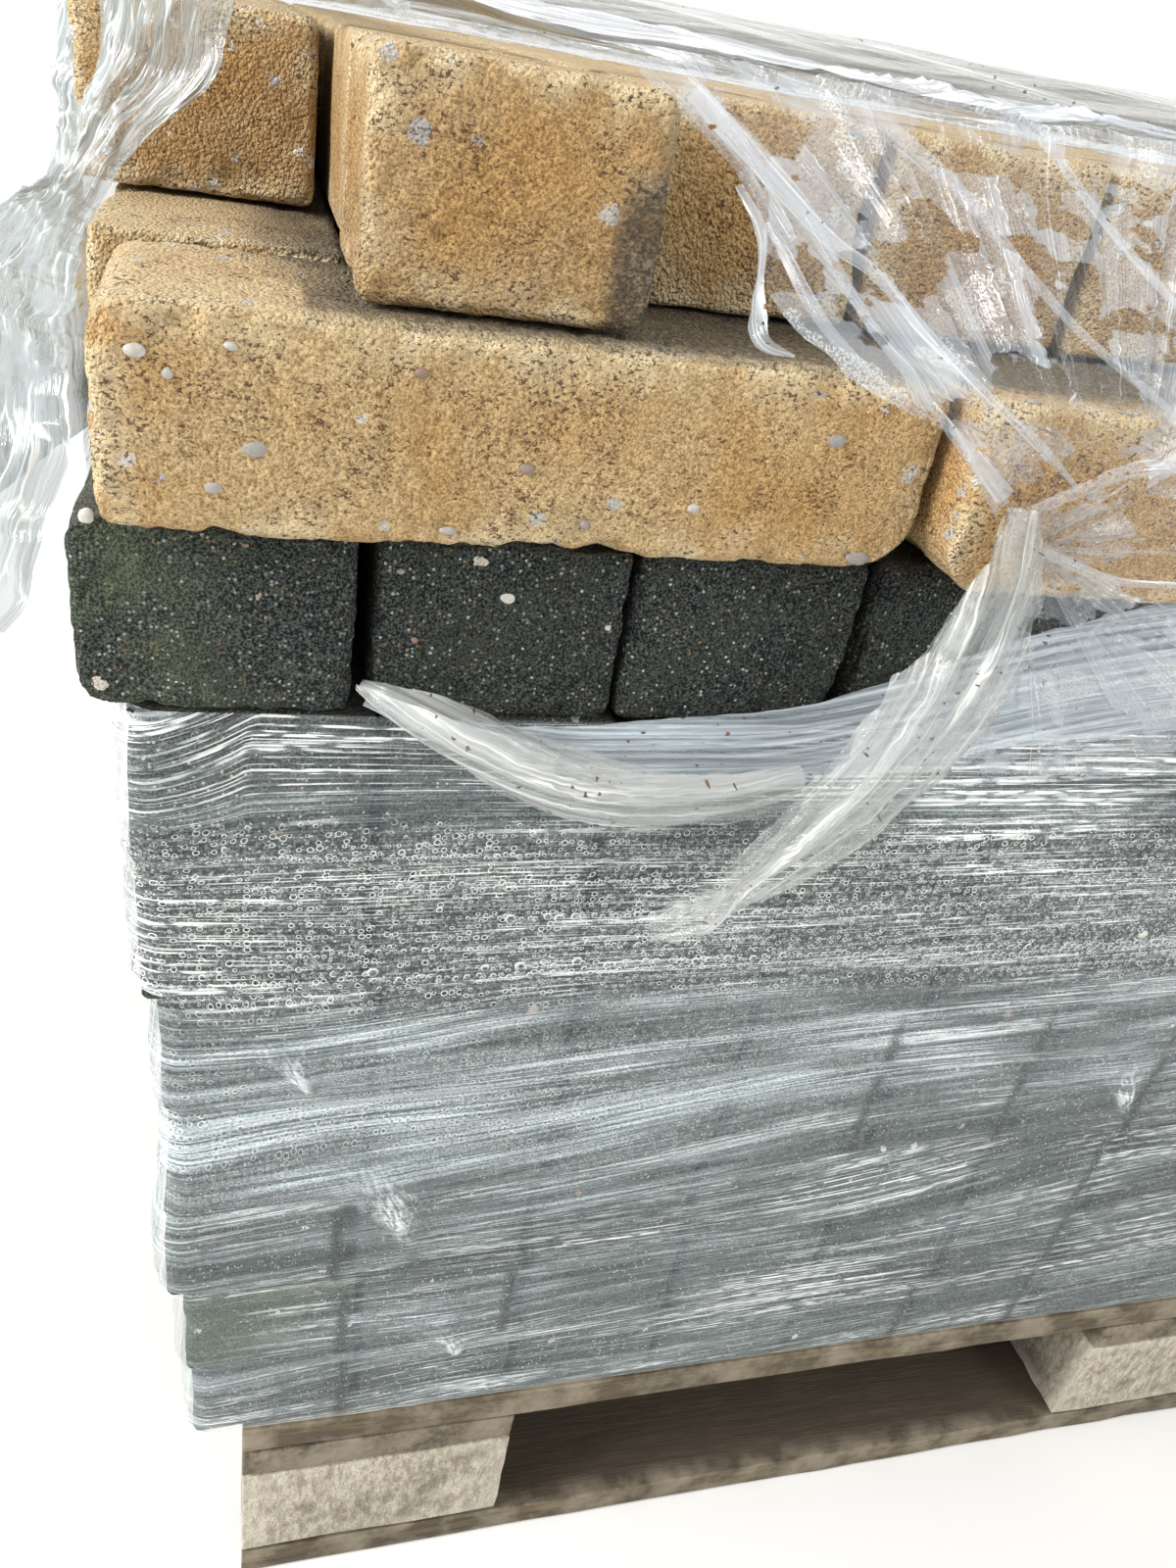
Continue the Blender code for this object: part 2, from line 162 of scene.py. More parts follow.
def way_along(points):
    """How far along a line of points each lies."""
    return np.concatenate(((0,), np.cumsum(np.linalg.norm(np.diff(points, axis=0), axis=1))))


def bell(away, half, power=2):
    """1 in the middle, falling to 0 on both sides."""
    return np.exp(-(away / half) ** power)


# Meshes

def new_object(name, points, faces, material, colours=None, wraps=None):
    """A mesh object from arrays: colours are a row of four numbers and wraps one of two, for each point."""
    faces = np.asarray(faces)
    mesh = bpy.data.meshes.new(name)
    mesh.vertices.add(len(points))
    mesh.vertices.foreach_set("co", np.asarray(points, np.float32).ravel())
    sides = faces.shape[1]
    mesh.loops.add(faces.size)
    mesh.loops.foreach_set("vertex_index", faces.ravel().astype(np.int32))
    mesh.polygons.add(len(faces))
    mesh.polygons.foreach_set("loop_start", np.arange(0, faces.size, sides, dtype=np.int32))
    mesh.polygons.foreach_set("use_smooth", np.full(len(faces), True))
    mesh.update(calc_edges=True)
    mesh.validate()
    if colours is not None:
        layer = mesh.color_attributes.new("tone", "FLOAT_COLOR", "POINT")
        layer.data.foreach_set("color", np.asarray(colours, np.float32).ravel())
    if wraps is not None:
        layer = mesh.uv_layers.new(name="wrap")
        layer.data.foreach_set("uv", np.asarray(wraps, np.float32)[faces.ravel()].ravel())
    mesh.materials.append(material)
    made = bpy.data.objects.new(name, mesh)
    bpy.context.scene.collection.objects.link(made)
    return made


def let_light_through(piece):
    """Clear film and drops neither shade what is behind them nor light it."""
    piece.visible_shadow = False
    piece.visible_diffuse = False


def keep(piece, slot, *nodes):
    """A finished piece: it rides on the body and stands for its nodes. slot is not used."""
    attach(piece, BODY)
    if nodes:
        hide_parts(*nodes)


def grid_faces(rows, columns):
    """Quads of a grid of points numbered row by row, facing row x column."""
    index = np.arange(rows * columns).reshape(rows, columns)
    return layers(index[:-1, :-1], index[:-1, 1:], index[1:, 1:], index[1:, :-1]).reshape(-1, 4)


class Pile:
    """Meshes gathered to become one object."""

    def __init__(self):
        self.points, self.faces, self.colours, self.wraps, self.count = [], [], [], [], 0

    def add(self, points, faces, colours, wraps=None):
        self.points.append(points)
        self.faces.append(faces + self.count)
        self.colours.append(colours)
        if wraps is not None:
            self.wraps.append(wraps)
        self.count += len(points)

    def add_grid(self, points, colours, wraps):
        rows, columns = points.shape[:2]
        self.add(points.reshape(-1, 3), grid_faces(rows, columns), colours.reshape(-1, 4),
                 wraps.reshape(-1, 2))

    def build(self, name, material):
        wraps = np.concatenate(self.wraps) if self.wraps else None
        return new_object(name, np.concatenate(self.points), np.concatenate(self.faces), material,
                          np.concatenate(self.colours), wraps)


def film_object(name, points, veil, wraps, material):
    """A film from its grid of points and the veil and wrap at each."""
    pile = Pile()
    pile.add_grid(points, veil, wraps)
    return pile.build(name, material)


# Rounded, worn boxes: pavers, boards and blocks

def lines(half, edge, edge_parts, step):
    """Lattice places along one side: close together in the rounded edges, then even."""
    rim = half - edge * np.arange(edge_parts) / edge_parts
    count = max(1, round(2 * (half - edge) / step))
    middle = np.linspace(edge - half, half - edge, count + 1)
    return np.concatenate((-rim, middle, rim[::-1]))


def box_lattice(places):
    """Points and quads on the surface of a box cut at the given places along x, y and z."""
    counts = tuple(len(values) for values in places)
    shell = np.zeros(counts, bool)
    for axis in range(3):
        side = np.moveaxis(shell, axis, 0)
        side[0] = True
        side[-1] = True
    index = np.full(counts, -1)
    index[shell] = np.arange(shell.sum())
    points = layers(*np.meshgrid(*places, indexing="ij"))[shell]
    quads = []
    for axis, side in itertools.product(range(3), (0, -1)):
        face = np.take(index, side, axis=axis)
        quad = layers(face[:-1, :-1], face[1:, :-1], face[1:, 1:], face[:-1, 1:]).reshape(-1, 4)
        inward = (side == 0) != (axis == 1)
        quads.append(quad[:, ::-1] if inward else quad)
    return points, np.concatenate(quads)


def worn_box(size, edge, edge_parts, steps, seed, wear=1.0, pits=0.0, big_corners=()):
    """A worn box about the origin: its points, quads, normals and how near to an edge each point is."""
    half = np.array(size) / 2
    places = [lines(h, edge, edge_parts, s) for h, s in zip(half, np.broadcast_to(steps, 3))]
    points, quads = box_lattice(places)
    inner = np.clip(points, edge - half, half - edge)
    out = points - inner
    normals = out / np.linalg.norm(out, axis=1, keepdims=True)
    reach = np.sort(half - np.abs(points), axis=1)[:, 1]
    shaped = inner + normals * edge
    for (sign_x, sign_z), radius in big_corners:
        centre = np.array((sign_x * (half[0] - radius), sign_z * (half[2] - radius)))
        away = (shaped[:, [0, 2]] - centre) * (sign_x, sign_z)
        length = np.linalg.norm(away, axis=1)
        outside = (away > 0).all(1) & (length > radius)
        pulled = centre + away / np.maximum(length, radius)[:, None] * radius * (sign_x, sign_z)
        shaped[outside, 0] = pulled[outside, 0]
        shaped[outside, 2] = pulled[outside, 1]
    own = shaped + seed * 1.37
    edginess = bell(reach, 2.2 * edge)
    bite = step_up(rough(own, 0.02, seed), 0.15, 0.75)
    crumble = np.clip(rough(own, 0.007, seed + 5), 0, 1)
    depth = 0.0009 * rough(own, 0.035, seed + 9) + 0.0006
    depth += wear * edginess * (0.004 * bite + 0.0022 * crumble)
    if pits:
        hole = step_up(noise(own, 0.0042, seed + 13), 0.45, 0.85)
        depth += pits * (0.0009 * hole + 0.00035 * rough(own, 0.0026, seed + 17, 2))
    return shaped - normals * depth[:, None], quads, normals, edginess


def turned(points, angle):
    """Points turned about the upright axis."""
    across, along = math.cos(angle), math.sin(angle)
    return points @ np.array(((across, along, 0), (-along, across, 0), (0, 0, 1)))


# By how near a paver is: parts of its rounded edges, steps along x, y and z, and depth of its pits
DETAILS = {"far": (1, 0.04, 0.0), "near": (3, (0.01, 0.03, 0.01), 0.0),
           "close": (4, (0.003, 0.006, 0.003), 1.0), "closest": (5, 0.0017, 1.0)}
PAVER_EDGE = 0.0045


def add_paver(pile, low, size, seed, detail="far", dark_marks=None, corners=(), wear=1.0, turn=0.0):
    """One paver in a pile, from its lowest corner. Its tones are a random tint, edge wear, and its stains and
    darkening.
    """
    parts, step, pits = DETAILS[detail]
    points, quads, normals, edginess = worn_box(size, PAVER_EDGE, parts, step, seed, wear, pits, corners)
    points = turned(points, turn) + np.array(low) + np.array(size) / 2
    tint = float(lattice(np.array((seed, 3, 7)), 11))
    pile.add(points, quads, layers(tint, edginess, dark_marks(points, normals) if dark_marks else 0.0, 1.0))


def add_end_on(pile, left, front, bed, row, column, seed, detail="far", dark_marks=None, gap=0.001):
    """A plain end-on paver at its row and column."""
    low = (left + column * PAVER_WIDE + gap, front + row * PAVER_LONG + 0.001, bed)
    add_paver(pile, low, (PAVER_WIDE - 2 * gap, PAVER_LONG - 0.002, PAVER_TALL), seed, detail, dark_marks)


def add_back_row(pile, left, front, bed, seed):
    for column in range(LONG_ROW):
        low = (left + column * PAVER_LONG + PAVER_JOINT / 2, front + STACK_DEEP - PAVER_WIDE, bed)
        add_paver(pile, low, (PAVER_LONG - PAVER_JOINT, PAVER_WIDE, PAVER_TALL), seed + column)


def course_left(index):
    return CORNER_X - LEFT_REACH * LEFT_SHARES[index]


def course_front(index):
    return CORNER_Y - FRONT_LEAN * FRONT_SHARES[index]


def course_bed(index):
    return FIRST_BED + COURSE_PITCH * index


# Shaders

class Nodes:
    """A node tree and short calls that add nodes to it."""

    def __init__(self, tree):
        self.tree = tree

    def add(self, kind, inputs=(), **settings):
        """A new node. Its inputs are given in order, or by name in a dictionary."""
        node = self.tree.nodes.new("ShaderNode" + kind)
        for key, value in settings.items():
            setattr(node, key, value)
        self.put(node, inputs)
        return node

    def put(self, node, inputs):
        """Links or sets a node's inputs; a colour is given by its three numbers."""
        for key, value in inputs.items() if isinstance(inputs, dict) else enumerate(inputs):
            socket = node.inputs[key]
            if isinstance(value, bpy.types.NodeSocket):
                self.tree.links.new(value, socket)
            else:
                socket.default_value = (*value, 1.0) if socket.type == "RGBA" else value

    def math(self, operation, a, b, clamp=False):
        return self.add("Math", (a, b), operation=operation, use_clamp=clamp).outputs[0]

    def product(self, *values):
        return functools.reduce(lambda a, b: self.math("MULTIPLY", a, b), values)

    def sum(self, *values):
        return functools.reduce(lambda a, b: self.math("ADD", a, b), values)

    def span(self, value, low, high, first=0.0, last=1.0):
        """Maps low to high onto first to last, held at both ends."""
        return self.add("MapRange", (value, low, high, first, last)).outputs[0]


class Shader(Nodes):
    """A material, with the place, the wrap and the tone of its points."""

    def __init__(self, name):
        self.material = bpy.data.materials.new(name)
        self.material.use_nodes = True
        super().__init__(self.material.node_tree)
        self.bsdf = self.tree.nodes["Principled BSDF"]
        spots = self.add("TexCoord").outputs
        self.place, self.wrap = spots["Object"], spots["UV"]
        tone = self.add("Attribute", attribute_name="tone")
        # Tone: a random tint; edge wear, or on films white lines that are partly painted highlights; stains
        # and darkening, with painted shadow under the deck on the wood; beads in its alpha.
        self.tint, self.wear, self.stain_and_shade = self.picked(tone)
        self.beads = tone.outputs["Alpha"]

    def mix(self, share, a, b):
        return self.add("Mix", {0: share, 6: a, 7: b}, data_type="RGBA").outputs[2]

    def stretched(self, place, scales):
        return self.add("VectorMath", (place, scales), operation="MULTIPLY").outputs[0]

    def moved(self, place, by):
        return self.add("VectorMath", (place, by), operation="ADD").outputs[0]

    def tilted(self, place, degrees):
        turn = dict(Vector=place, Angle=math.radians(degrees))
        return self.add("VectorRotate", turn, rotation_type="Z_AXIS").outputs[0]

    def noise(self, place, scale, detail, roughness=0.5, distortion=0.0):
        inputs = dict(Vector=place, Scale=scale, Detail=detail, Roughness=roughness, Distortion=distortion)
        return self.add("TexNoise", inputs).outputs[0]

    def streaks(self, place, scales, detail, roughness=0.55):
        """Flat noise, stretched along one direction of the wrap."""
        place = self.stretched(place, (*scales, 1.0))
        inputs = dict(Vector=place, Scale=1.0, Detail=detail, Roughness=roughness)
        return self.add("TexNoise", inputs, noise_dimensions="2D").outputs[0]

    def cells(self, place, scale):
        return self.add("TexVoronoi", dict(Vector=place, Scale=scale))

    def facets(self, place, scales, feature="F1", randomness=1.0):
        """Flat cells, stretched along one direction of the wrap."""
        inputs = dict(Vector=self.stretched(place, (*scales, 1.0)), Scale=1.0, Randomness=randomness)
        return self.add("TexVoronoi", inputs, voronoi_dimensions="2D", feature=feature)

    def picked(self, cell):
        """Three even random numbers for each cell."""
        return self.add("SeparateColor", [cell.outputs["Color"]]).outputs

    def own_place(self):
        """The object's place, moved far along by each paver's own tint, so that no two look alike."""
        shift = self.add("CombineXYZ", (self.product(self.tint, 31.0), self.product(self.tint, 17.0)))
        return self.moved(self.place, shift.outputs[0])

    def upright_place(self):
        """The place seen from the front: x and z."""
        split = self.add("SeparateXYZ", [self.place]).outputs
        return self.add("CombineXYZ", (split[0], split[2])).outputs[0]

    def facing_up(self):
        split = self.add("SeparateXYZ", [self.add("NewGeometry").outputs["Normal"]])
        return self.span(split.outputs[2], 0.45, 0.85)

    def pebbles(self, place, scale, rarity, size, stones, colour, ragged, wear_gain, strength=1.0):
        """Scatters smooth stones of two colours over a colour: the new colour and where the stones are.
        ragged is a colour that roughens their outlines."""
        cell = self.cells(self.moved(place, self.stretched(ragged, (0.0014,) * 3)), scale)
        pick = self.picked(cell)
        inside = self.math("LESS_THAN", cell.outputs["Distance"], self.product(pick[1], size))
        limit = self.math("SUBTRACT", rarity, self.product(self.wear, wear_gain))
        where = self.product(inside, self.math("GREATER_THAN", pick[0], limit))
        return self.mix(self.product(where, strength), colour, self.mix(pick[2], *stones)), where

    def finish(self, colour, roughness, height=None, depth=0.0):
        """The finished material, with a bump where a height is given."""
        self.put(self.bsdf, {"Base Color": colour, "Roughness": roughness})
        if height is not None:
            bump = self.add("Bump", dict(Height=height, Distance=depth, Strength=1.0))
            self.put(self.bsdf, {"Normal": bump.outputs[0]})
        return self.material


def buff_concrete(name, deep, light, stones_from=0.94, stone_scale=140,
                  stones=((0.33, 0.33, 0.33), (0.66, 0.63, 0.56))):
    """Crumbly buff concrete: sandy grain, clustered pits, pale stones where worn, dust and painted light from
    above on top, and darkening where its tone says.
    """
    s = Shader(name)
    place = s.own_place()
    sand = s.noise(place, 1300, 1, 0.6)
    grain = s.cells(place, 760)
    away = grain.outputs["Distance"]
    pits = s.noise(s.stretched(place, (1.0, 1.0, 1.5)), 560, 2, 0.8)
    patch = s.noise(place, 24, 2, 0.6)
    cluster = s.noise(place, 75, 1, 0.6)
    tone = s.sum(s.span(sand, 0.36, 0.64, 0, 0.6), s.product(s.picked(grain)[0], 0.4))
    rusty = s.mix(tone, (0.2, 0.092, 0.022), (0.58, 0.34, 0.115))
    colour = s.mix(s.span(patch, 0.4, 0.62, 0, 0.75), s.mix(tone, deep, light), rusty)
    colour = s.mix(s.product(s.wear, s.span(cluster, 0.38, 0.62, 0.1, 0.75)), colour, (0.68, 0.57, 0.36))
    # Top faces are paler and greyer: dust, and painted light from above.
    colour = s.mix(s.product(s.facing_up(), s.span(sand, 0.35, 0.6, 0.8, 0.3)), colour, (0.44, 0.36, 0.225))
    colour, where = s.pebbles(place, stone_scale, stones_from, 0.42, stones, colour, grain.outputs["Color"],
                              0.24, 0.8)
    hollow = s.sum(pits, s.span(cluster, 0.36, 0.66, -0.085, 0.03))
    pit = s.product(s.span(hollow, 0.55, 0.605), s.span(away, 0.22, 0.46, 0.25, 1.0))
    colour = s.mix(s.product(pit, 0.9), colour, (0.075, 0.033, 0.011))
    # Darker where the tone's third number is: a mossy stain, and darkening along blocks' feet and in joints.
    darkening = s.math("MULTIPLY", s.stain_and_shade, s.span(pits, 0.3, 0.6, 0.55, 1.0), True)
    colour = s.mix(darkening, colour, (0.06, 0.047, 0.03))
    return s.finish(colour, s.span(where, 0, 1, 0.93, 0.5), s.sum(s.product(away, -0.9), sand), 0.0013)


def dark_concrete(name):
    """Anthracite concrete: black grit with pale and brown grains, greenish grey bloom where it is mossy."""
    s = Shader(name)
    place = s.own_place()
    sand = s.noise(place, 1200, 1, 0.8)
    patch = s.noise(place, 34, 2, 0.65)
    grain = s.cells(place, 700)
    pick = s.picked(grain)
    black = (0.002, 0.003, 0.004)
    colour = s.mix(s.span(sand, 0.42, 0.6), black, (0.076, 0.089, 0.078))
    colour = s.mix(s.span(patch, 0.44, 0.66, 0, 0.4), colour, (0.046, 0.052, 0.036))
    near = s.span(grain.outputs["Distance"], 0.25, 0.45, 1, 0)
    pale = s.product(near, s.math("GREATER_THAN", pick[0], 0.72), pick[1])
    colour = s.mix(pale, colour, s.mix(s.span(pick[2], 0.45, 0.75), (0.54, 0.58, 0.54), (0.3, 0.18, 0.09)))
    colour = s.mix(s.product(near, s.math("LESS_THAN", pick[0], 0.3)), colour, black)
    stones = (0.78, 0.75, 0.66), (0.24, 0.13, 0.07)
    colour, _ = s.pebbles(place, 115, 0.955, 0.27, stones, colour, grain.outputs["Color"], 0.03)
    moss = s.math("MULTIPLY", s.stain_and_shade, s.span(patch, 0.36, 0.6, 0.1, 1.0), True)
    colour = s.mix(s.product(moss, s.span(sand, 0.4, 0.62, 0.2, 0.9)), colour, (0.115, 0.145, 0.08))
    # Top faces are mixed towards a paler grey.
    colour = s.mix(s.product(s.facing_up(), 0.5), colour, (0.13, 0.125, 0.105))
    s.put(s.bsdf, {"Specular IOR Level": 0.2})
    return s.finish(colour, 0.75, s.sum(sand, s.product(grain.outputs["Distance"], -0.8)), 0.0018)


def weathered_wood(name, along, light, dark, pale=(0.42, 0.36, 0.26), stretch=0.06):
    """Sawn wood with its grain along one axis (0 is x, 1 is y, 2 is z)."""
    s = Shader(name)
    place = s.stretched(s.own_place(), tuple(stretch if axis == along else 1.0 for axis in range(3)))
    grain = s.noise(place, 260, 4, 0.7, 0.3)
    fibre = s.noise(place, 1300, 2, 0.7)
    blot = s.noise(s.place, 42, 4, 0.6)
    colour = s.mix(s.span(grain, 0.38, 0.62), dark, light)
    colour = s.mix(s.span(fibre, 0.5, 0.66, 0, 0.55), colour, (0.045, 0.034, 0.024))
    colour = s.mix(s.span(blot, 0.5, 0.66, 0, 0.5), colour, (0.07, 0.055, 0.038))
    # Darker where the tone's third number is: damp, and painted shadow under the deck.
    damp = s.math("MULTIPLY", s.stain_and_shade, s.span(blot, 0.3, 0.6, 0.75, 1.0), True)
    colour = s.mix(damp, colour, (0.045, 0.032, 0.022))
    colour = s.mix(s.product(s.wear, s.span(blot, 0.4, 0.62, 0.0, 0.5)), colour, pale)
    return s.finish(colour, 0.82, s.sum(grain, s.product(fibre, 0.5)), 0.0008)


def dirt_specks(s):
    """Small ragged specks where the film is stained: where they are, and their colour."""
    place = s.upright_place()
    cell = s.facets(place, (230, 330))
    pick = s.picked(cell)
    away = s.sum(cell.outputs["Distance"], s.span(s.streaks(place, (900, 900), 1), 0.3, 0.7, -0.1, 0.1))
    small = s.span(s.math("POWER", pick[1], 3.0), 0, 1, 0.02, 0.26)
    chosen = s.math("GREATER_THAN", s.product(pick[0], s.stain_and_shade), 0.47)
    where = s.product(s.math("LESS_THAN", away, small), chosen)
    return where, s.mix(pick[2], (0.03, 0.022, 0.014), (0.22, 0.1, 0.035))


def finish_film(s, share, tint, lines, height, depth, roughness, dirty=True):
    """Clear film that hides a share of what is behind it. lines is how much of it is creamy white: its own
    whitening, and partly painted highlights.
    """
    # Painted reflection: seen at a grazing angle the film hides more and shows its pale tint.
    edge = s.add("LayerWeight", dict(Blend=0.2)).outputs["Facing"]
    share = s.sum(share, s.product(edge, 0.22))
    colour = s.mix(s.math("MULTIPLY", lines, 1.15, True), tint, (0.84, 0.84, 0.8))
    if dirty:
        where, dark_marks = dirt_specks(s)
        share = s.math("MAXIMUM", share, s.product(where, 0.9))
        colour = s.mix(where, colour, dark_marks)
    s.put(s.bsdf, {"Alpha": s.math("MINIMUM", share, 0.97), "IOR": 1.5, "Specular IOR Level": 0.8})
    return s.finish(colour, roughness, height, depth)


def droplets(s, scale):
    """Round beads in rough rows: where they are, and the painted bright highlight ring round each."""
    cell = s.facets(s.wrap, (scale, scale), randomness=0.7)
    pick = s.picked(cell)
    away = s.math("DIVIDE", cell.outputs["Distance"], s.span(pick[0], 0.0, 1.0, 0.12, 0.44))
    chosen = s.math("GREATER_THAN", pick[1], 0.4)
    inside = s.product(s.span(away, 0.6, 0.8, 1, 0), chosen)
    return inside, s.product(s.span(away, 0.62, 0.86), s.span(away, 0.9, 1.08, 1, 0), chosen)


def stretched_film(name, veil, tint):
    """Film stretched round the courses: mist in patches, crisp thin lines that are partly painted highlights,
    beads of damp in rows with painted bright highlight rings, and crumpled pinches where the last number of
    the tone is below 0."""
    s = Shader(name)
    thread = s.streaks(s.wrap, (6, 1050), 1, 0.6)
    band = s.streaks(s.tilted(s.wrap, -3.5), (2.5, 300), 2, 0.6)
    cloud = s.streaks(s.wrap, (9, 52), 2, 0.6)
    wide = s.streaks(s.wrap, (3, 60), 2, 0.6)
    frost = s.span(s.streaks(s.wrap, (700, 1300), 0), 0.35, 0.62, 0.7, 1.25)
    mist = s.product(s.tint, s.span(cloud, 0.38, 0.66, 0.09, 0.28), s.span(wide, 0.38, 0.62, 0.65, 1.3),
                     s.span(thread, 0.4, 0.48, 0.35, 1.05), s.span(band, 0.36, 0.52, 0.6, 1.1), frost)
    broken = s.span(s.streaks(s.wrap, (90, 600), 1), 0.38, 0.54, 0.1, 1.0)
    lines = s.sum(s.span(thread, 0.545, 0.6, 0, 0.85), s.span(band, 0.575, 0.62, 0, 0.4))
    lines = s.product(s.wear, lines, broken, s.span(cloud, 0.4, 0.56, 0.35, 1.0))
    beads = s.math("MAXIMUM", s.beads, 0.0)
    (large, ring), (small, rim) = droplets(s, 330), droplets(s, 820)
    clear = s.math("SUBTRACT", 1.0, s.product(s.math("MAXIMUM", large, small), beads, 0.85))
    # Painted highlights: a bright white ring round each bead.
    rings = s.product(s.math("MAXIMUM", ring, s.product(rim, 0.75)), beads, 0.95)
    crease = s.span(s.streaks(s.tilted(s.upright_place(), 62), (110, 420), 2, 0.7), 0.4, 0.62, 0.15, 1.0)
    crumple = s.product(s.span(s.beads, 0.0, -0.9), crease, 0.8)
    share = s.sum(s.product(s.sum(mist, veil), clear), lines, rings, crumple)
    white = s.sum(lines, rings, s.product(crumple, 0.6))
    return finish_film(s, share, tint, white, s.sum(thread, s.product(band, 1.2)), 0.0008, 0.1, False)


def clinging_film(name, veil, tint):
    """Film over the buff courses: folds with crisp edges, partly painted highlights, clear patches where it
    clings, and foam.
    """
    s = Shader(name)
    strip = s.facets(s.wrap, (4, 100))
    seam = s.facets(s.wrap, (4, 100), "DISTANCE_TO_EDGE").outputs["Distance"]
    crease = s.streaks(s.wrap, (7, 520), 2, 0.6)
    face = s.upright_place()
    patch = s.streaks(face, (26, 44), 4)
    cling = s.product(s.span(patch, 0.525, 0.54), s.beads)
    fleck = s.span(s.streaks(face, (1500, 1500), 1), 0.35, 0.6, 0.15, 0.6)
    foam = s.product(s.span(patch, 0.395, 0.38), s.beads, fleck)
    # Bright seams and creases: the film's own whitening, and partly painted highlights along its folds.
    seams = s.span(seam, 0.0, 0.04, 0.8, 0)
    lines = s.product(s.wear, s.sum(seams, s.span(crease, 0.58, 0.72, 0, 0.5)))
    haze = s.product(s.tint, s.span(s.picked(strip)[0], 0, 1, 0.08, 0.5))
    share = s.product(s.sum(haze, veil), s.math("SUBTRACT", 1.0, s.product(cling, 0.85)))
    share = s.sum(s.math("MAXIMUM", share, foam), lines)
    height = s.sum(s.product(strip.outputs["Distance"], 2.0), crease)
    return finish_film(s, share, tint, s.sum(lines, s.product(foam, 0.6)), height, 0.001, 0.08)


def crinkled_film(name, fold, veil, tint, crisp=0.45):
    """Gathered or crumpled film: long soft folds with bright creases, partly painted highlights, and small
    crisp facets.
    """
    s = Shader(name)
    sway = s.add("TexNoise", dict(Vector=s.wrap, Scale=fold[1] * 0.25), noise_dimensions="2D")
    bent = s.moved(s.wrap, s.stretched(sway.outputs["Color"], (0.4 / fold[0], 0.5 / fold[1], 0.0)))
    facet = s.facets(bent, fold)
    crease = s.facets(bent, fold, "DISTANCE_TO_EDGE").outputs["Distance"]
    thread = s.streaks(bent, (fold[0] * 0.5, fold[1] * 3.2), 3, 0.65)
    soft = s.streaks(s.wrap, (fold[0] * 0.4, fold[1] * 0.8), 3, 0.6)
    seams = s.product(s.span(crease, 0.0, 0.09, crisp, 0), s.span(soft, 0.4, 0.6))
    lines = s.sum(seams, s.span(thread, 0.54, 0.7, 0, 0.45))
    lines = s.product(s.wear, lines, s.span(soft, 0.36, 0.56, 0.3, 1.1))
    haze = s.sum(s.span(s.picked(facet)[0], 0, 1, 0.0, 0.2), s.span(soft, 0.4, 0.64, 0, 0.36))
    share = s.sum(s.product(s.tint, haze), lines, veil)
    height = s.sum(s.product(facet.outputs["Distance"], 0.6), s.product(soft, 1.2), thread)
    return finish_film(s, share, tint, lines, height, 0.0008, 0.08)


BUFF = buff_concrete("buff_concrete", (0.23, 0.13, 0.043), (0.66, 0.49, 0.25), 0.91)
BUFF_BROWN = buff_concrete("buff_concrete_brown", (0.175, 0.092, 0.028), (0.55, 0.37, 0.165))
BUFF_STONY = buff_concrete("buff_concrete_stony", (0.23, 0.13, 0.05), (0.6, 0.42, 0.21), 0.56, 150,
                           ((0.46, 0.48, 0.52), (0.82, 0.81, 0.8)))
DARK = dark_concrete("dark_concrete")
WOOD_X = weathered_wood("weathered_wood_long", 0, (0.142, 0.106, 0.048), (0.048, 0.035, 0.018))
WOOD_Y = weathered_wood("weathered_wood_cross", 1, (0.19, 0.15, 0.092), (0.06, 0.047, 0.03))
WOOD_BLOCK = weathered_wood("weathered_wood_block", 2, (0.6, 0.55, 0.44), (0.3, 0.255, 0.185),
                            (0.66, 0.6, 0.5), 0.35)
FILM_SLEEVE = stretched_film("film_stretched", 0.04, (0.53, 0.62, 0.64))
FILM_OVER = clinging_film("film_over_buff", 0.22, (0.45, 0.485, 0.52))
FILM_GATHERED = crinkled_film("film_gathered", (10, 300), 0.14, (0.5, 0.52, 0.5))
FILM_BAND = crinkled_film("film_bunched", (9, 520), 0.26, (0.56, 0.64, 0.7))
FILM_CRUMPLED = crinkled_film("film_crumpled", (48, 250), 0.4, (0.3, 0.345, 0.35), 0.65)


# Dark courses

def jitter(*key):
    """A steady random number from -1 to 1 for a few whole numbers."""
    values = (list(key) + [0, 0, 0])[:3]
    return float(lattice(np.array(values), 71)) * 2 - 1


def green_left(points, normals):
    """Moss on the left end of a course, fading to the right."""
    fade = 1 - step_up(points[:, 0], -0.64, -0.585)
    return np.clip(fade + 0.25 * rough(points, 0.03, 5), 0, 1)


def wide_moss(points, normals):
    """Moss over the first paver of a course under the film."""
    fade = 1 - step_up(points[:, 0], -0.56, -0.53)
    return np.clip(fade * (1.1 + 0.4 * rough(points, 0.02, 6)), 0, 1)


def wrapped_course(index):
    """A course under the film: each outer paver is its own shape."""
    pile = Pile()
    left, front, bed = course_left(index), course_front(index), course_bed(index)
    for row, column in itertools.product(range(END_ON_ROWS), range(COLUMNS)):
        if row and 0 < column < COLUMNS - 1:
            continue
        low = (left + column * PAVER_WIDE + PAVER_JOINT / 2 + 0.0003 * jitter(index, column, 1),
               front + row * PAVER_LONG + 0.0006 + 0.0006 * jitter(index, column, row + 2), bed)
        size = (PAVER_WIDE - PAVER_JOINT, PAVER_LONG - 0.002, PAVER_TALL)
        detail = "near" if row == 0 and column < NEAR_COLUMNS else "far"
        add_paver(pile, low, size, 100 * index + 20 * row + column, detail,
                  wide_moss if index == 1 and column < 2 else None)
    add_back_row(pile, left, front, bed, 100 * index + 80)
    keep(pile.build(f"dark_pavers_{index + 1}", DARK), "dark_concrete", f"dark_course_{index + 1}")


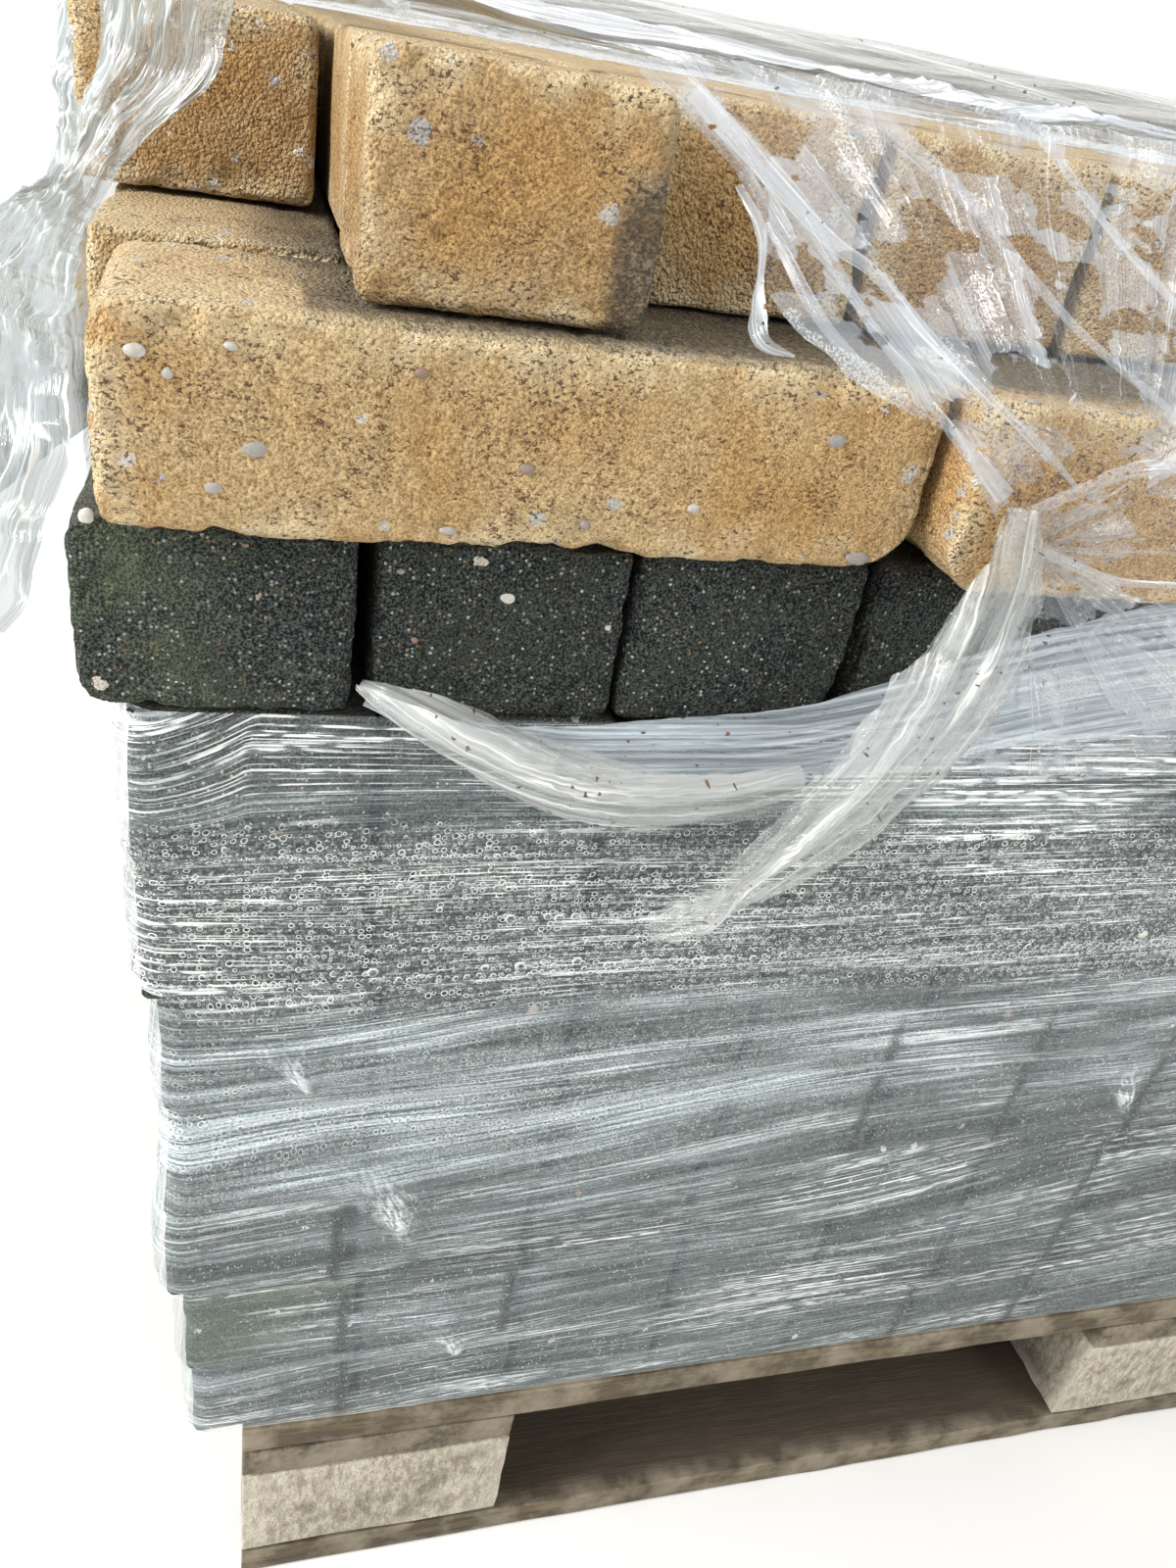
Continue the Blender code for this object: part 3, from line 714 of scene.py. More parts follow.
# The open course: widths of its pavers, and how its first ones are spaced, stand out and are chipped
FIRST_WIDE, OPEN_WIDE, OPEN_JOINT = 0.0795, 0.0792, 0.0006
FINE_PART = 0.045
OPEN_JOINTS = (0.0045, 0.0012, 0.003, 0.0012, 0.001)
OPEN_OUTS = (0.001, 0.002, 0.0012, 0.0045)
OPEN_DETAILS = ("closest", "closest", "closest", "close")
OPEN_CORNERS = {0: (((-1, -1), 0.016), ((-1, 1), 0.01)), 2: (((1, -1), 0.012),)}


def open_course():
    """Course 8, which stands clear of the film at the torn corner."""
    pile = Pile()
    left, front, bed = course_left(WRAPPED), course_front(WRAPPED), course_bed(WRAPPED)
    at = left
    for column in range(COLUMNS):
        wide = OPEN_WIDE if column else FIRST_WIDE
        out = OPEN_OUTS[column] if column < len(OPEN_OUTS) else 0.003 + 0.002 * jitter(WRAPPED, column)
        add_open_paver(pile, (at, front + out, bed), wide, column)
        at += wide + (OPEN_JOINTS[column] if column < len(OPEN_JOINTS) else OPEN_JOINT)
    for row, column in itertools.product(range(1, END_ON_ROWS), (0, COLUMNS - 1)):
        detail = "near" if column == 0 else "far"
        add_end_on(pile, left, front, bed, row, column, 760 + 10 * row + column, detail, gap=0.0)
    add_back_row(pile, left, front, bed, 790)
    keep(pile.build("dark_pavers_8", DARK), "dark_concrete", "dark_course_8")


def add_open_paver(pile, low, wide, column):
    """An end-on paver. Near the corner it has a fine front and a plain rest, so that the points go where they
    show."""
    seed, corners = 700 + column, OPEN_CORNERS.get(column, ())
    moss = green_left if column < 2 else None
    if column >= len(OPEN_DETAILS):
        add_paver(pile, low, (wide, PAVER_LONG - 0.002, PAVER_TALL), seed, "near", moss, corners)
        return
    add_paver(pile, low, (wide, FINE_PART, PAVER_TALL), seed, OPEN_DETAILS[column], moss, corners)
    rest = (low[0] + 0.0005, low[1] + FINE_PART - 0.007, low[2] + 0.0003)
    size = (wide - 0.001, PAVER_LONG - FINE_PART + 0.004, PAVER_TALL - 0.0006)
    add_paver(pile, rest, size, seed + 50, "near", moss, corners)


for course in range(WRAPPED):
    wrapped_course(course)
open_course()


# Buff courses

ROW_PITCH, BLOCK_PITCH = 0.2435, 0.243
ROW_LEFT, ROW_OUT = CORNER_X - 0.0385, 0.025
ROW_TURN = math.radians(1.6)
ROW_STEPS = (0.0, 0.012, 0.0048, 0.009, 0.0024)
BLOCK_LEFT, BLOCK_FRONT = -0.573, -0.413
SIDE_LEFT, SIDE_FRONT = -0.656, -0.261
LOWER_LEFT, LOWER_FRONT = -0.64725, -0.33865
UPPER_LEFT, UPPER_FRONT = -0.49, -0.366


def darker_round_block(points, normals):
    """Darkening on the long paver's top, thick along the block that stands on it, in the joint behind and to
    the block's right.
    """
    x, y, _ = points.T
    before = bell(np.maximum(BLOCK_FRONT - y, 0), 0.01) * (x > BLOCK_LEFT - 0.012)
    beside = bell(np.maximum(BLOCK_LEFT - x, 0), 0.022) * step_up(y, -0.405, -0.375)
    joint = step_up(y, -0.362, -0.35) * step_up(x, -0.615, -0.595)
    right = step_up(x, -0.51, -0.47) * step_up(y, -0.418, -0.395)
    clean = np.clip((BLOCK_LEFT - x) * 60, 0, 1)
    wide = 0.9 * np.maximum(before, beside) + 0.9 * joint + 1.0 * right - 0.2 * clean
    return np.clip((wide + 0.35 * rough(points, 0.008, 3)) * step_up(normals[:, 2], 0.4, 0.8), 0, 1)


def darker_beside_block(points, normals):
    """Darkening on the bed's corner paver, along the block that stands to its right."""
    top = step_up(normals[:, 2], 0.4, 0.8)
    return np.clip((step_up(points[:, 0], -0.612, -0.58) + 0.45 * rough(points, 0.009, 5)) * top, 0, 1)


def stain_on_corner(points, normals):
    """A dark mossy stain at the lower right of the corner paver's end."""
    x, _, z = points.T
    spot = step_up(x, -0.512, -0.5) * (1 - step_up(z, 0.712, 0.732))
    side = step_up(-normals[:, 0], 0.5, 0.9) * (1 - step_up(z, 0.7, 0.74))
    foot, edge = 1 - step_up(z, 0.687, 0.692), step_up(x, -0.503, -0.496)
    ruffle = 0.35 * rough(points, 0.01, 8) - 0.15
    return np.clip(1.8 * spot + 0.5 * edge + 0.3 * side + 0.5 * foot + ruffle, 0, 1)


# The first two long pavers: detail, material, chipped corners, wear and turn
ROW_FIRST = (("closest", BUFF, (((1, -1), 0.026), ((-1, 1), 0.013), ((-1, -1), 0.01)), 1.1, ROW_TURN),
             ("close", BUFF_BROWN, (((-1, -1), 0.018),), 1.2, 0.0))


def front_row():
    for place in range(LONG_ROW):
        pile = Pile()
        low = (ROW_LEFT + ROW_PITCH * place, CORNER_Y - ROW_OUT - ROW_STEPS[place], course_bed(8))
        size = (PAVER_LONG, PAVER_WIDE, PAVER_TALL)
        if place < len(ROW_FIRST):
            detail, material, corners, wear, turn = ROW_FIRST[place]
            add_paver(pile, low, size, 902 + 3 * place, detail, darker_round_block, corners, wear, turn)
        else:
            material = BUFF_BROWN
            add_paver(pile, low, size, 910 + place, "near")
        keep(pile.build(f"long_paver_{place + 1}", material), "buff_concrete", f"front_paver_{place + 1}")


def lower_bed():
    pile = Pile()
    for row, column in itertools.product(range(END_ON_ROWS), range(COLUMNS)):
        first = row == 0 and column == 0
        add_end_on(pile, LOWER_LEFT, LOWER_FRONT, course_bed(8), row, column, 1000 + 20 * row + column,
                   "close" if first else "far", darker_beside_block if first else None)
    keep(pile.build("lower_bed_pavers", BUFF), "buff_concrete", "lower_buff_bed")


def corner_column():
    """Three end-on pavers from the torn corner backwards. The first has a fine front and a plain rest."""
    bed = course_bed(9)
    for place in range(3):
        pile = Pile()
        low = (BLOCK_LEFT, BLOCK_FRONT + BLOCK_PITCH * place, bed)
        if place:
            add_paver(pile, low, (PAVER_WIDE, PAVER_LONG, PAVER_TALL), 1101 + place, "near")
        else:
            corners = (((1, -1), 0.012), ((1, 1), 0.009), ((-1, 1), 0.009))
            add_paver(pile, low, (PAVER_WIDE, 0.075, PAVER_TALL), 1101, "closest", stain_on_corner, corners)
            rest = (low[0] + 0.0005, low[1] + 0.068, low[2])
            add_paver(pile, rest, (PAVER_WIDE - 0.001, PAVER_LONG - 0.068, PAVER_TALL - 0.0004), 1151, "near")
        made = pile.build(f"corner_block_{place + 1}", BUFF_BROWN)
        keep(made, "buff_concrete", f"corner_paver_{place + 1}")
    for place in range(2):
        pile = Pile()
        low = (SIDE_LEFT, SIDE_FRONT + BLOCK_PITCH * place, bed)
        add_paver(pile, low, (PAVER_WIDE, PAVER_LONG, PAVER_TALL), 1120 + place, "near" if place else "close")
        keep(pile.build(f"left_block_{place + 1}", BUFF_STONY), "buff_concrete", f"left_paver_{place + 1}")


def upper_bed():
    pile = Pile()
    for row, column in itertools.product(range(END_ON_ROWS), range(UPPER_COLUMNS)):
        add_end_on(pile, UPPER_LEFT, UPPER_FRONT, course_bed(9), row, column, 1200 + 20 * row + column,
                   "near" if row == 0 and column < 4 else "far")
    keep(pile.build("upper_bed_pavers", BUFF_BROWN), "buff_concrete", "upper_buff_bed")


front_row()
lower_bed()
corner_column()
upper_bed()


MM = 1 / 1000
DOME_RISE = 0.62
# Single pebbles in the faces: x, z, half width and height in millimetres, colour (0 pale, 0.5 grey, 1 brown)
DARK_PEBBLES = ((-0.6403, 0.6257, 2.2, 2.6, 0.0), (-0.5755, 0.6201, 2.0, 2.4, 0.0),
                (-0.6187, 0.5776, 3.0, 2.4, 0.25), (-0.5744, 0.5802, 2.2, 2.0, 0.15),
                (-0.5232, 0.6082, 2.6, 2.0, 0.1), (-0.613, 0.61, 1.0, 1.0, 0.0),
                (-0.599, 0.6205, 2.0, 1.2, 0.9), (-0.59, 0.596, 1.0, 1.2, 0.1),
                (-0.556, 0.615, 1.4, 1.0, 0.5), (-0.55, 0.593, 1.2, 1.2, 0.9), (-0.49, 0.6, 1.2, 1.0, 0.2),
                (-0.456, 0.611, 1.6, 1.2, 0.5))
LONG_PEBBLES = ((-0.5972, 0.652, 3.6, 2.2, 0.45), (-0.6077, 0.641, 2.4, 1.8, 0.4),
                (-0.525, 0.652, 2.2, 1.6, 0.75), (-0.556, 0.675, 2.0, 1.4, 0.9),
                (-0.434, 0.667, 3.0, 2.0, 0.5), (-0.416, 0.6315, 4.0, 2.2, 0.5),
                (-0.5454, 0.633, 2.6, 1.4, 0.4), (-0.625, 0.674, 2.8, 1.8, 0.22),
                (-0.618, 0.669, 1.5, 1.6, 0.3), (-0.603, 0.677, 1.8, 1.2, 0.25),
                (-0.474, 0.644, 2.0, 1.4, 0.3), (-0.506, 0.637, 1.6, 1.4, 0.6))


def pebble_stone(name):
    """A smooth stone, whose tint goes from pale over grey to brown."""
    s = Shader(name)
    colour = s.mix(s.span(s.tint, 0.0, 0.5), (0.66, 0.63, 0.56), (0.27, 0.25, 0.23))
    colour = s.mix(s.span(s.tint, 0.5, 1.0), colour, (0.22, 0.11, 0.055))
    grain = s.span(s.noise(s.place, 700, 2, 0.7), 0.3, 0.7, 0, 0.35)
    return s.finish(s.mix(grain, colour, (0.1, 0.09, 0.08)), 0.6)


def dome(rings, sides):
    """Points and triangles of a flat dome of radius 1."""
    points = [(0.0, 0.0, DOME_RISE)]
    for ring, side in itertools.product(range(1, rings + 1), range(sides)):
        tilt, turn = ring / rings * math.pi / 2, 2 * math.pi * side / sides
        out = math.sin(tilt)
        points.append((out * math.cos(turn), out * math.sin(turn), DOME_RISE * math.cos(tilt)))
    faces = [(0, 1 + side, 1 + (side + 1) % sides) for side in range(sides)]
    for ring, side in itertools.product(range(rings - 1), range(sides)):
        here, after = 1 + ring * sides + side, 1 + ring * sides + (side + 1) % sides
        faces += [(here, here + sides, after), (after, here + sides, after + sides)]
    return np.array(points), np.array(faces)


def open_face(x):
    """The y of the open course's front."""
    return course_front(WRAPPED) + 0.0024 + 0 * x


def turned_face(x):
    """The y of the first long paver's front at x: the paver is turned about its middle."""
    return CORNER_Y - ROW_OUT + math.sin(ROW_TURN) * (x - ROW_LEFT - PAVER_LONG / 2)


def pebbles_in(name, pebbles, slot, face_y):
    """Flat lumps sunk into the front faces. face_y gives the face's y at x."""
    pile = Pile()
    shape, faces = dome(4, 14)
    for number, (x, z, wide, tall, colour) in enumerate(pebbles):
        bulge = 1 + 0.22 * noise(shape * 1.2 + number * 3.7, 0.9, 21)
        points = layers(x + shape[:, 0] * bulge * wide * MM, face_y(x) + 0.0006 - shape[:, 2] * 0.0016,
                        z + shape[:, 1] * bulge * tall * MM)
        pile.add(points, faces, layers(np.full(len(points), colour), 0.0, 0.0, 0.0))
    keep(pile.build(name, PEBBLE), slot)


PEBBLE = pebble_stone("pebble")
pebbles_in("dark_face_pebbles", DARK_PEBBLES, "dark_concrete", open_face)
pebbles_in("long_paver_pebbles", LONG_PEBBLES, "buff_concrete", turned_face)


# Pallet

WOOD_EDGE = 0.0022


def add_wood(name, node, seed, material, along, detail, damp):
    """A board or block in its node's place, with waney edges, and damp and painted shade below."""
    low, high = (np.array(corner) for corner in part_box(node))
    steps = [0.012, 0.012, 0.012] if detail else [0.05, 0.05, 0.03]
    steps[along] *= 2
    points, quads, normals, edginess = worn_box(high - low, WOOD_EDGE, 2 if detail else 1, steps, seed, 0.35)
    grain = np.array((0.006, 0.006, 0.006))
    grain[along] = 0.2
    points = points - normals * (0.0008 * (rough(points + seed, grain, seed) + 0.6))[:, None]
    points = points + (low + high) / 2
    tint = float(lattice(np.array((seed, 5, 9)), 13))
    pile = Pile()
    pile.add(points, quads, layers(tint, edginess, np.clip(damp(points, normals), 0, 1), 1.0))
    keep(pile.build(name, material), "weathered_wood", node)


def shade_below(points, normals):
    """Damp and shadow under the deck, darker away from the front edge."""
    return 0.15 + 0.55 * (1 - step_up(points[:, 2], 0.02, 0.12)) * step_up(points[:, 1], -0.398, -0.385)


# Painted shadow on the top faces, which lie under the deck, over a little damp all over.
def damp_and_shadow_on_top(points, normals):
    return 0.25 + 0.6 * step_up(normals[:, 2], 0.5, 0.9)


def darker_behind(points, normals):
    """A deck board's darkening: some all over, more behind its front face."""
    return 0.26 + 0.4 * step_up(points[:, 1], -0.39, -0.37)


# Boards: name, node, seed, material, axis of the grain, how many are fine, and their damp and painted shade
RUNNER = ("runner", "bottom_board", 2000, WOOD_X, 0, 1, damp_and_shadow_on_top)
STRINGER = ("stringer", "cross_board", 2010, WOOD_Y, 1, 2, shade_below)
DECK = ("deck", "deck_board", 2020, WOOD_X, 0, 1, darker_behind)


def add_board(board, place):
    name, node, seed, material, along, fine, damp = board
    add_wood(f"{name}_{place + 1}", f"{node}_{place + 1}", seed + place, material, along, place < fine, damp)


def pallet():
    for place, board in itertools.product(range(3), (RUNNER, STRINGER)):
        add_board(board, place)
    for place in range(5):
        add_board(DECK, place)
    for row, column in itertools.product(range(3), range(3)):
        place = f"{row + 1}_{column + 1}"
        seed = 2030 + 3 * row + column
        add_wood("foot_" + place, "block_" + place, seed, WOOD_BLOCK, 0, row == 0, shade_below)


pallet()


# Film

SLEEVE_LOW, SLEEVE_HIGH = FIRST_BED + 0.0005, course_bed(WRAPPED) - 0.0006
SLEEVE_RADIUS = 0.011
NEAR_SHARE = 0.42
FILM_GAP = 0.0012
# Where the sleeve is pinched and torn: x, z, size and whiteness
PINCHES = ((-0.539, 0.402, 0.013, 0.8), (-0.4925, 0.307, 0.024, 1.0), (-0.465, 0.198, 0.014, 1.0),
           (-0.602, 0.289, 0.014, 0.8), (-0.623, 0.498, 0.014, 0.6), (-0.62, 0.165, 0.014, 0.6),
           (-0.13, 0.35, 0.018, 0.9), (0.21, 0.26, 0.018, 0.9))


def film_profile(z, shares, reach):
    """How far out the film stands at heights z: it follows the courses and dips at their joints."""
    heights = np.arange(SLEEVE_LOW - 0.03, SLEEVE_HIGH + 0.03, 0.0005)
    course = (heights - FIRST_BED) / COURSE_PITCH
    out = np.array(shares)[np.clip(np.floor(course), 0, WRAPPED - 1).astype(int)] * reach
    wide = np.max([np.roll(out, shift) for shift in range(-8, 9)], axis=0)
    soft = bell(np.arange(-12, 13), 5.0)
    smooth = np.convolve(np.pad(wide, 12, mode="edge"), soft / soft.sum(), mode="valid")
    dip = 0.003 * bell((course - np.round(course)) * COURSE_PITCH, 0.0045)
    return np.interp(z, heights, smooth - dip)


def sleeve_left(z):
    return CORNER_X - film_profile(z, LEFT_SHARES[:WRAPPED], LEFT_REACH)


def sleeve_front(z):
    return CORNER_Y - film_profile(z, FRONT_SHARES[:WRAPPED], FRONT_LEAN)


def ridges(u, v, long, wide, seed, bend=0.5, sharp=4):
    """Long creases along u: 1 on a crest, 0 between crests."""
    sway = noise(flat(u, v, seed * 0.7), (long * 0.9, wide * 9, 1), seed + 31) * wide * bend * 3
    crest = noise(flat(u, v + sway, seed * 1.3), (long, wide, 1), seed)
    return (1 - np.abs(crest)) ** sharp


def flow(u, z):
    """The height from which the film's stretch lines at u and z come: they slope, run into the pinches and
    fan out at the corner."""
    slope = 0.055 + 0.05 * step_up(z, 0.22, 0.32) - 0.105 * step_up(z, 0.38, 0.52)
    line = z - slope * (u - CORNER_X)
    for x, height, size, _ in PINCHES:
        line = line + (z - height) * 0.55 * bell(u - x, 6.0 * size) * bell(z - height, 2.6 * size)
    share = np.clip((u + 0.65) / 0.095, 0, 1)
    sag = 0.06 * share * (1 - share) * step_up(z, 0.5, 0.56)
    return line + sag + 0.0025 * noise(flat(u, z, 9.0), (0.16, 0.07, 1), 33)


def pinch_field(u, z):
    """How near a pinch is: a bright knot with a faint fan of creases that widens upwards from it."""
    total = 0 * u
    for place, (x, height, size, white) in enumerate(PINCHES):
        across, up = (u - x) / size, (z - height) / size
        ragged = 1 + 0.7 * rough(flat(u, z, place), size * 0.6, 35 + place)
        ray = (across + 0.45 * up) / (0.3 + 0.55 * np.clip(up, 0, 3))
        rays = 0.6 + 0.7 * rough(flat(ray, up, place), (0.3, 2.0, 1), 75 + place)
        fan = bell(ray, 1) * step_up(up, -0.6, 0.1) * (1 - step_up(up, 1.0, 2.4)) * rays
        knot = bell(across + 0.35 * up, 0.26 + 0.16 * np.clip(up, -1, 2)) * bell(up - 0.2, 0.8)
        total = total + white * (0.45 * fan + 0.75 * step_up(knot * ragged, 0.1, 1.1))
    return np.clip(total, 0, 1)


def sleeve_relief(u, z):
    """Wrinkles of the sleeve, out of its face."""
    line = flow(u, z)
    relief = 0.0016 * ridges(u, line, 0.34, 0.019, 41) + 0.0012 * ridges(u, line, 0.22, 0.0075, 42)
    relief += 0.0005 * ridges(u, line, 0.12, 0.0032, 43)
    relief *= 0.55 + 0.45 * noise(flat(u, z, 3.0), (0.15, 0.05, 1), 44)
    pinch = pinch_field(u, z)
    knobs = rough(flat(u, z, 4.0), 0.0085, 45) + 0.5 * ridges(z, u, 0.02, 0.006, 46, 1.0, 2)
    return relief * (1 - 0.8 * pinch) + pinch * (0.003 + 0.0028 * knobs)


def sleeve_face(x, z):
    """The sleeve's front at x and z."""
    return sleeve_front(z) - FILM_GAP - sleeve_relief(x - sleeve_left(z) + CORNER_X, z)


def rounded_loop(side_steps):
    """Columns round a rounded rectangle, from its back left corner forwards: shares along x and y, and
    outward directions. side_steps holds the shares of the left, front, right and back side."""
    corners = ((0, 1), (0, 0), (1, 0), (1, 1))
    outs = ((-1, 0), (0, -1), (1, 0), (0, 1))
    places, outward = [], []
    for side, shares in enumerate(side_steps):
        start, end = np.array(corners[side]), np.array(corners[(side + 1) % 4])
        for share in shares:
            places.append(start + (end - start) * share)
            outward.append(outs[side])
        first, second = np.array(outs[side]), np.array(outs[(side + 1) % 4])
        for turn in np.arange(1, 6) / 6 * math.pi / 2:
            places.append(end)
            outward.append(first * math.cos(turn) + second * math.sin(turn))
    places.append(places[0])
    outward.append(outward[0])
    return np.array(places, float), np.array(outward, float)


def joint_phase(z):
    """0 at a joint between courses, 0.5 at a course's middle, 1 at the next joint."""
    return np.mod((z - FIRST_BED) / COURSE_PITCH, 1.0)


def open_joints(u, z):
    """1 at the upright joints between pavers where the film shows them as black lines."""
    course = np.clip(np.floor((z - FIRST_BED) / COURSE_PITCH), 0, WRAPPED - 1)
    across = (u - CORNER_X) / PAVER_WIDE
    nearest = np.round(across)
    chosen = lattice(layers(nearest + 40, course, 3), 66) > 0.3
    height = step_up(np.abs(joint_phase(z) - 0.5), 0.48, 0.36)
    dark = bell((across - nearest) * PAVER_WIDE, 0.003) * height * chosen
    return dark * (nearest > 0) * (1 - step_up(z, 0.4, 0.43))


def sleeve_veil(u, z):
    """Mist, white lines that are partly painted highlights, dirt and beads of the sleeve by zone; beads are
    below 0 in the crumpled pinches.
    """
    top = step_up(z, 0.53, 0.552)
    beaded = step_up(z, 0.43, 0.45) * (1 - step_up(z, 0.515, 0.535))
    misty = bell(z - 0.4, 0.036)
    left = 1 - step_up(u, -0.56, -0.4)
    low_right = step_up(u, -0.45, -0.2) * (1 - step_up(z, 0.33, 0.4))
    damp = bell(z - 0.378, 0.058, 4) * (1 - step_up(u, -0.45, -0.1))
    window = bell(u + 0.6, 0.05, 4) * bell(z - 0.236, 0.026, 4)
    joints = open_joints(u, z)
    corner = bell(u + 0.632, 0.026)
    phase = joint_phase(z + 0.004 * noise(flat(u, z, 5.0), 0.03, 64))
    pocket = corner * bell(phase - 0.1, 0.13)
    foam = np.clip(corner * bell(phase - 0.72, 0.2) * (0.6 + 0.8 * rough(flat(u, z), 0.014, 65)), 0, 1)
    pinch = np.clip(pinch_field(u, z) + 0.8 * step_up(foam, 0.35, 0.75), 0, 1)
    mist = 1.00 + 0.95 * misty * (0.5 + 0.5 * left) - 0.75 * top * left - 0.7 * beaded
    mist += 1.3 * top * step_up(u, -0.4, -0.2) + 0.65 * damp - 0.45 * low_right
    mist *= 1.0 + 0.6 * rough(flat(u, z), (0.13, 0.035, 1), 61)
    mist = mist * (1 - 0.95 * pocket) * (1 - 0.97 * window) * (1 - 0.97 * joints) + 0.8 * foam
    white = 0.5 + 0.7 * rough(flat(u, flow(u, z)), (0.3, 0.02, 1), 62) + 0.8 * top + 0.25 * beaded
    white = np.clip(white, 0.08, 1.2) * (1 - 0.55 * damp) * (1 - 0.92 * window) * (1 - 0.97 * joints)
    hem = 1 - step_up(z, SLEEVE_LOW + 0.002, SLEEVE_LOW + 0.006)
    dark_marks = 0.3 * step_up(rough(flat(u, z), 0.05, 63), 0.15, 0.5) + 0.5 * pocket
    bead = 0.1 + 0.9 * beaded + 0.1 * misty + 0.35 * damp + 0.12 * top * (1 - corner) * left
    bead = np.clip(bead, 0, 1) * (1 - step_up(pinch, 0, 0.08)) - pinch
    return layers(np.clip(mist, 0, 3), white + 0.9 * hem, dark_marks, bead)


def sleeve():
    """The film round the wrapped courses, with most of its columns at the near end of the front."""
    front = np.concatenate((np.linspace(0, NEAR_SHARE, 226)[:-1], np.linspace(NEAR_SHARE, 1, 50)))
    left, right, back = (np.linspace(0, 1, count) for count in (56, 24, 30))
    places, outward = rounded_loop((left, front, right, back))
    z = np.linspace(SLEEVE_LOW, SLEEVE_HIGH, 232)[:, None] + 0 * places[None, :, 0]
    x = sleeve_left(z) + SLEEVE_RADIUS + places[:, 0] * (STACK_LONG - 2 * SLEEVE_RADIUS)
    y = sleeve_front(z) + SLEEVE_RADIUS + places[:, 1] * (STACK_DEEP - 2 * SLEEVE_RADIUS)
    walked = way_along(places * (STACK_LONG, STACK_DEEP) + outward * SLEEVE_RADIUS)
    u = walked - STACK_DEEP + CORNER_X + 0 * z
    offset = SLEEVE_RADIUS + FILM_GAP + sleeve_relief(u, z)
    points = layers(x + outward[:, 0] * offset, y + outward[:, 1] * offset, z)
    wraps = layers(u, flow(u, z))
    made = film_object("film_round_dark_courses", points, sleeve_veil(u, z), wraps, FILM_SLEEVE)
    keep(made, "stretch_film", "film_sleeve")
    let_light_through(made)


sleeve()


# Bands and ribbons of film along a path

def smooth_path(points, count):
    """Evenly spaced points on a smooth curve through a few points, and how far along each lies."""
    points = np.array(points, float)
    padded = np.vstack((2 * points[0] - points[1], points, 2 * points[-1] - points[-2]))
    walk = []
    for i in range(len(points) - 1):
        a, b, c, d = padded[i:i + 4]
        t = np.linspace(0, 1, 40, endpoint=False)[:, None]
        walk.append(0.5 * (2 * b + (c - a) * t + (2 * a - 5 * b + 4 * c - d) * t ** 2
                           + (3 * b - a - 3 * c + d) * t ** 3))
    walk = np.vstack(walk + [points[-1:]])
    reach = way_along(walk)
    wanted = np.linspace(0, reach[-1], count)
    return layers(*(np.interp(wanted, reach, part) for part in walk.T)), wanted


def unit(vectors):
    return vectors / np.linalg.norm(vectors, axis=-1, keepdims=True)


def at_shares(values, t):
    """Values at even places, read at the shares t."""
    return np.interp(t, np.linspace(0, 1, len(values)), values)


def add_ribbon(pile, path, halves, side, seed, rows, columns, arch, pleat, twist, ragged, mist, white,
               shift=0.0, beads=0.3):
    """A pleated band of film in a pile. halves are half widths along the path, side the direction across it,
    pleat the folds' width and depth, twist its turn in degrees at the start and the end."""
    line, walked = smooth_path(path, rows)
    forward = unit(np.gradient(line, axis=0))
    across = unit(np.cross(np.cross(forward, np.array(side, float)), forward))
    over = np.cross(forward, across)
    t, s, walked = np.linspace(0, 1, rows)[:, None], np.linspace(-1, 1, columns), walked[:, None]
    half = at_shares(halves, t)
    edge = 1 + ragged * rough(flat(walked, np.sign(s), seed), (0.012, 1, 1), seed)
    reach = s * half * np.where(np.abs(s) > 0.6, edge, 1)
    wide, depth = pleat
    folds = ridges(walked, reach + shift, 0.11, wide, seed + 1, 0.4, 1.5) - 0.5
    fine = ridges(walked, reach + shift, 0.07, wide * 0.4, seed + 2, 0.4, 2) - 0.4
    lift = arch * half * (1 - s ** 2) + (depth * folds + 0.35 * depth * fine) * np.minimum(1, half / 0.006)
    angle = np.radians(twist[0] + (twist[1] - twist[0]) * t)
    a, b = reach * np.cos(angle) - lift * np.sin(angle), reach * np.sin(angle) + lift * np.cos(angle)
    points = line[:, None, :] + across[:, None, :] * a[..., None] + over[:, None, :] * b[..., None]
    cloud = 1 + 0.35 * rough(flat(walked, reach, seed), 0.016, seed + 4)
    veil = layers(mist * cloud, white * (0.4 + folds), 0.54 + 0.4 * step_up(cloud, 1.05, 1.25), beads)
    pile.add_grid(points, veil, layers(walked + shift, reach + seed * 0.11))


# Upper film: over the right, the back and the left of the buff courses

GATHER = np.array((-0.3745, 0.648))
FILM_TORN = ((-0.494, 0.7525), (-0.481, 0.742), (-0.4723, 0.732), (-0.4664, 0.724), (-0.464, 0.7028),
             (-0.458, 0.6948), (-0.445, 0.6885), (-0.413, 0.679), (-0.386, 0.66), (-0.377, 0.64),
             (-0.39, 0.62), (-0.4, 0.6), (-0.41, 0.57))
WALL_FRONT, WALL_TOP_FRONT = -0.4395, -0.3695
WALL_LEFT, WALL_RIGHT, WALL_BACK = -0.658, 0.579, 0.3845
# The torn edges on top and on the left
TOP_LEFT, TORN_LEFT = -0.61, -0.26
LEDGE, CREST = 0.688, 0.749
UPPER_LOW = 0.564
LIP = 0.105
WALL_RISE = LEDGE - UPPER_LOW
SLANT_RISE = math.hypot(CREST - LEDGE, WALL_TOP_FRONT - WALL_FRONT)
WAY_UP = (0, WALL_RISE, WALL_RISE + SLANT_RISE, WALL_RISE + SLANT_RISE + LIP)


def film_front_at(pixel):
    """The point of the upper film's front, slanting or upright, that the photograph shows at a pixel."""
    upright = seen_at(pixel, WALL_FRONT)
    ray = upright - EYE
    normal = np.array((0, LEDGE - CREST, WALL_TOP_FRONT - WALL_FRONT))
    slanting = EYE + ray * np.dot((0, WALL_FRONT, LEDGE) - EYE, normal) / np.dot(ray, normal)
    return upright if slanting[2] < LEDGE else slanting


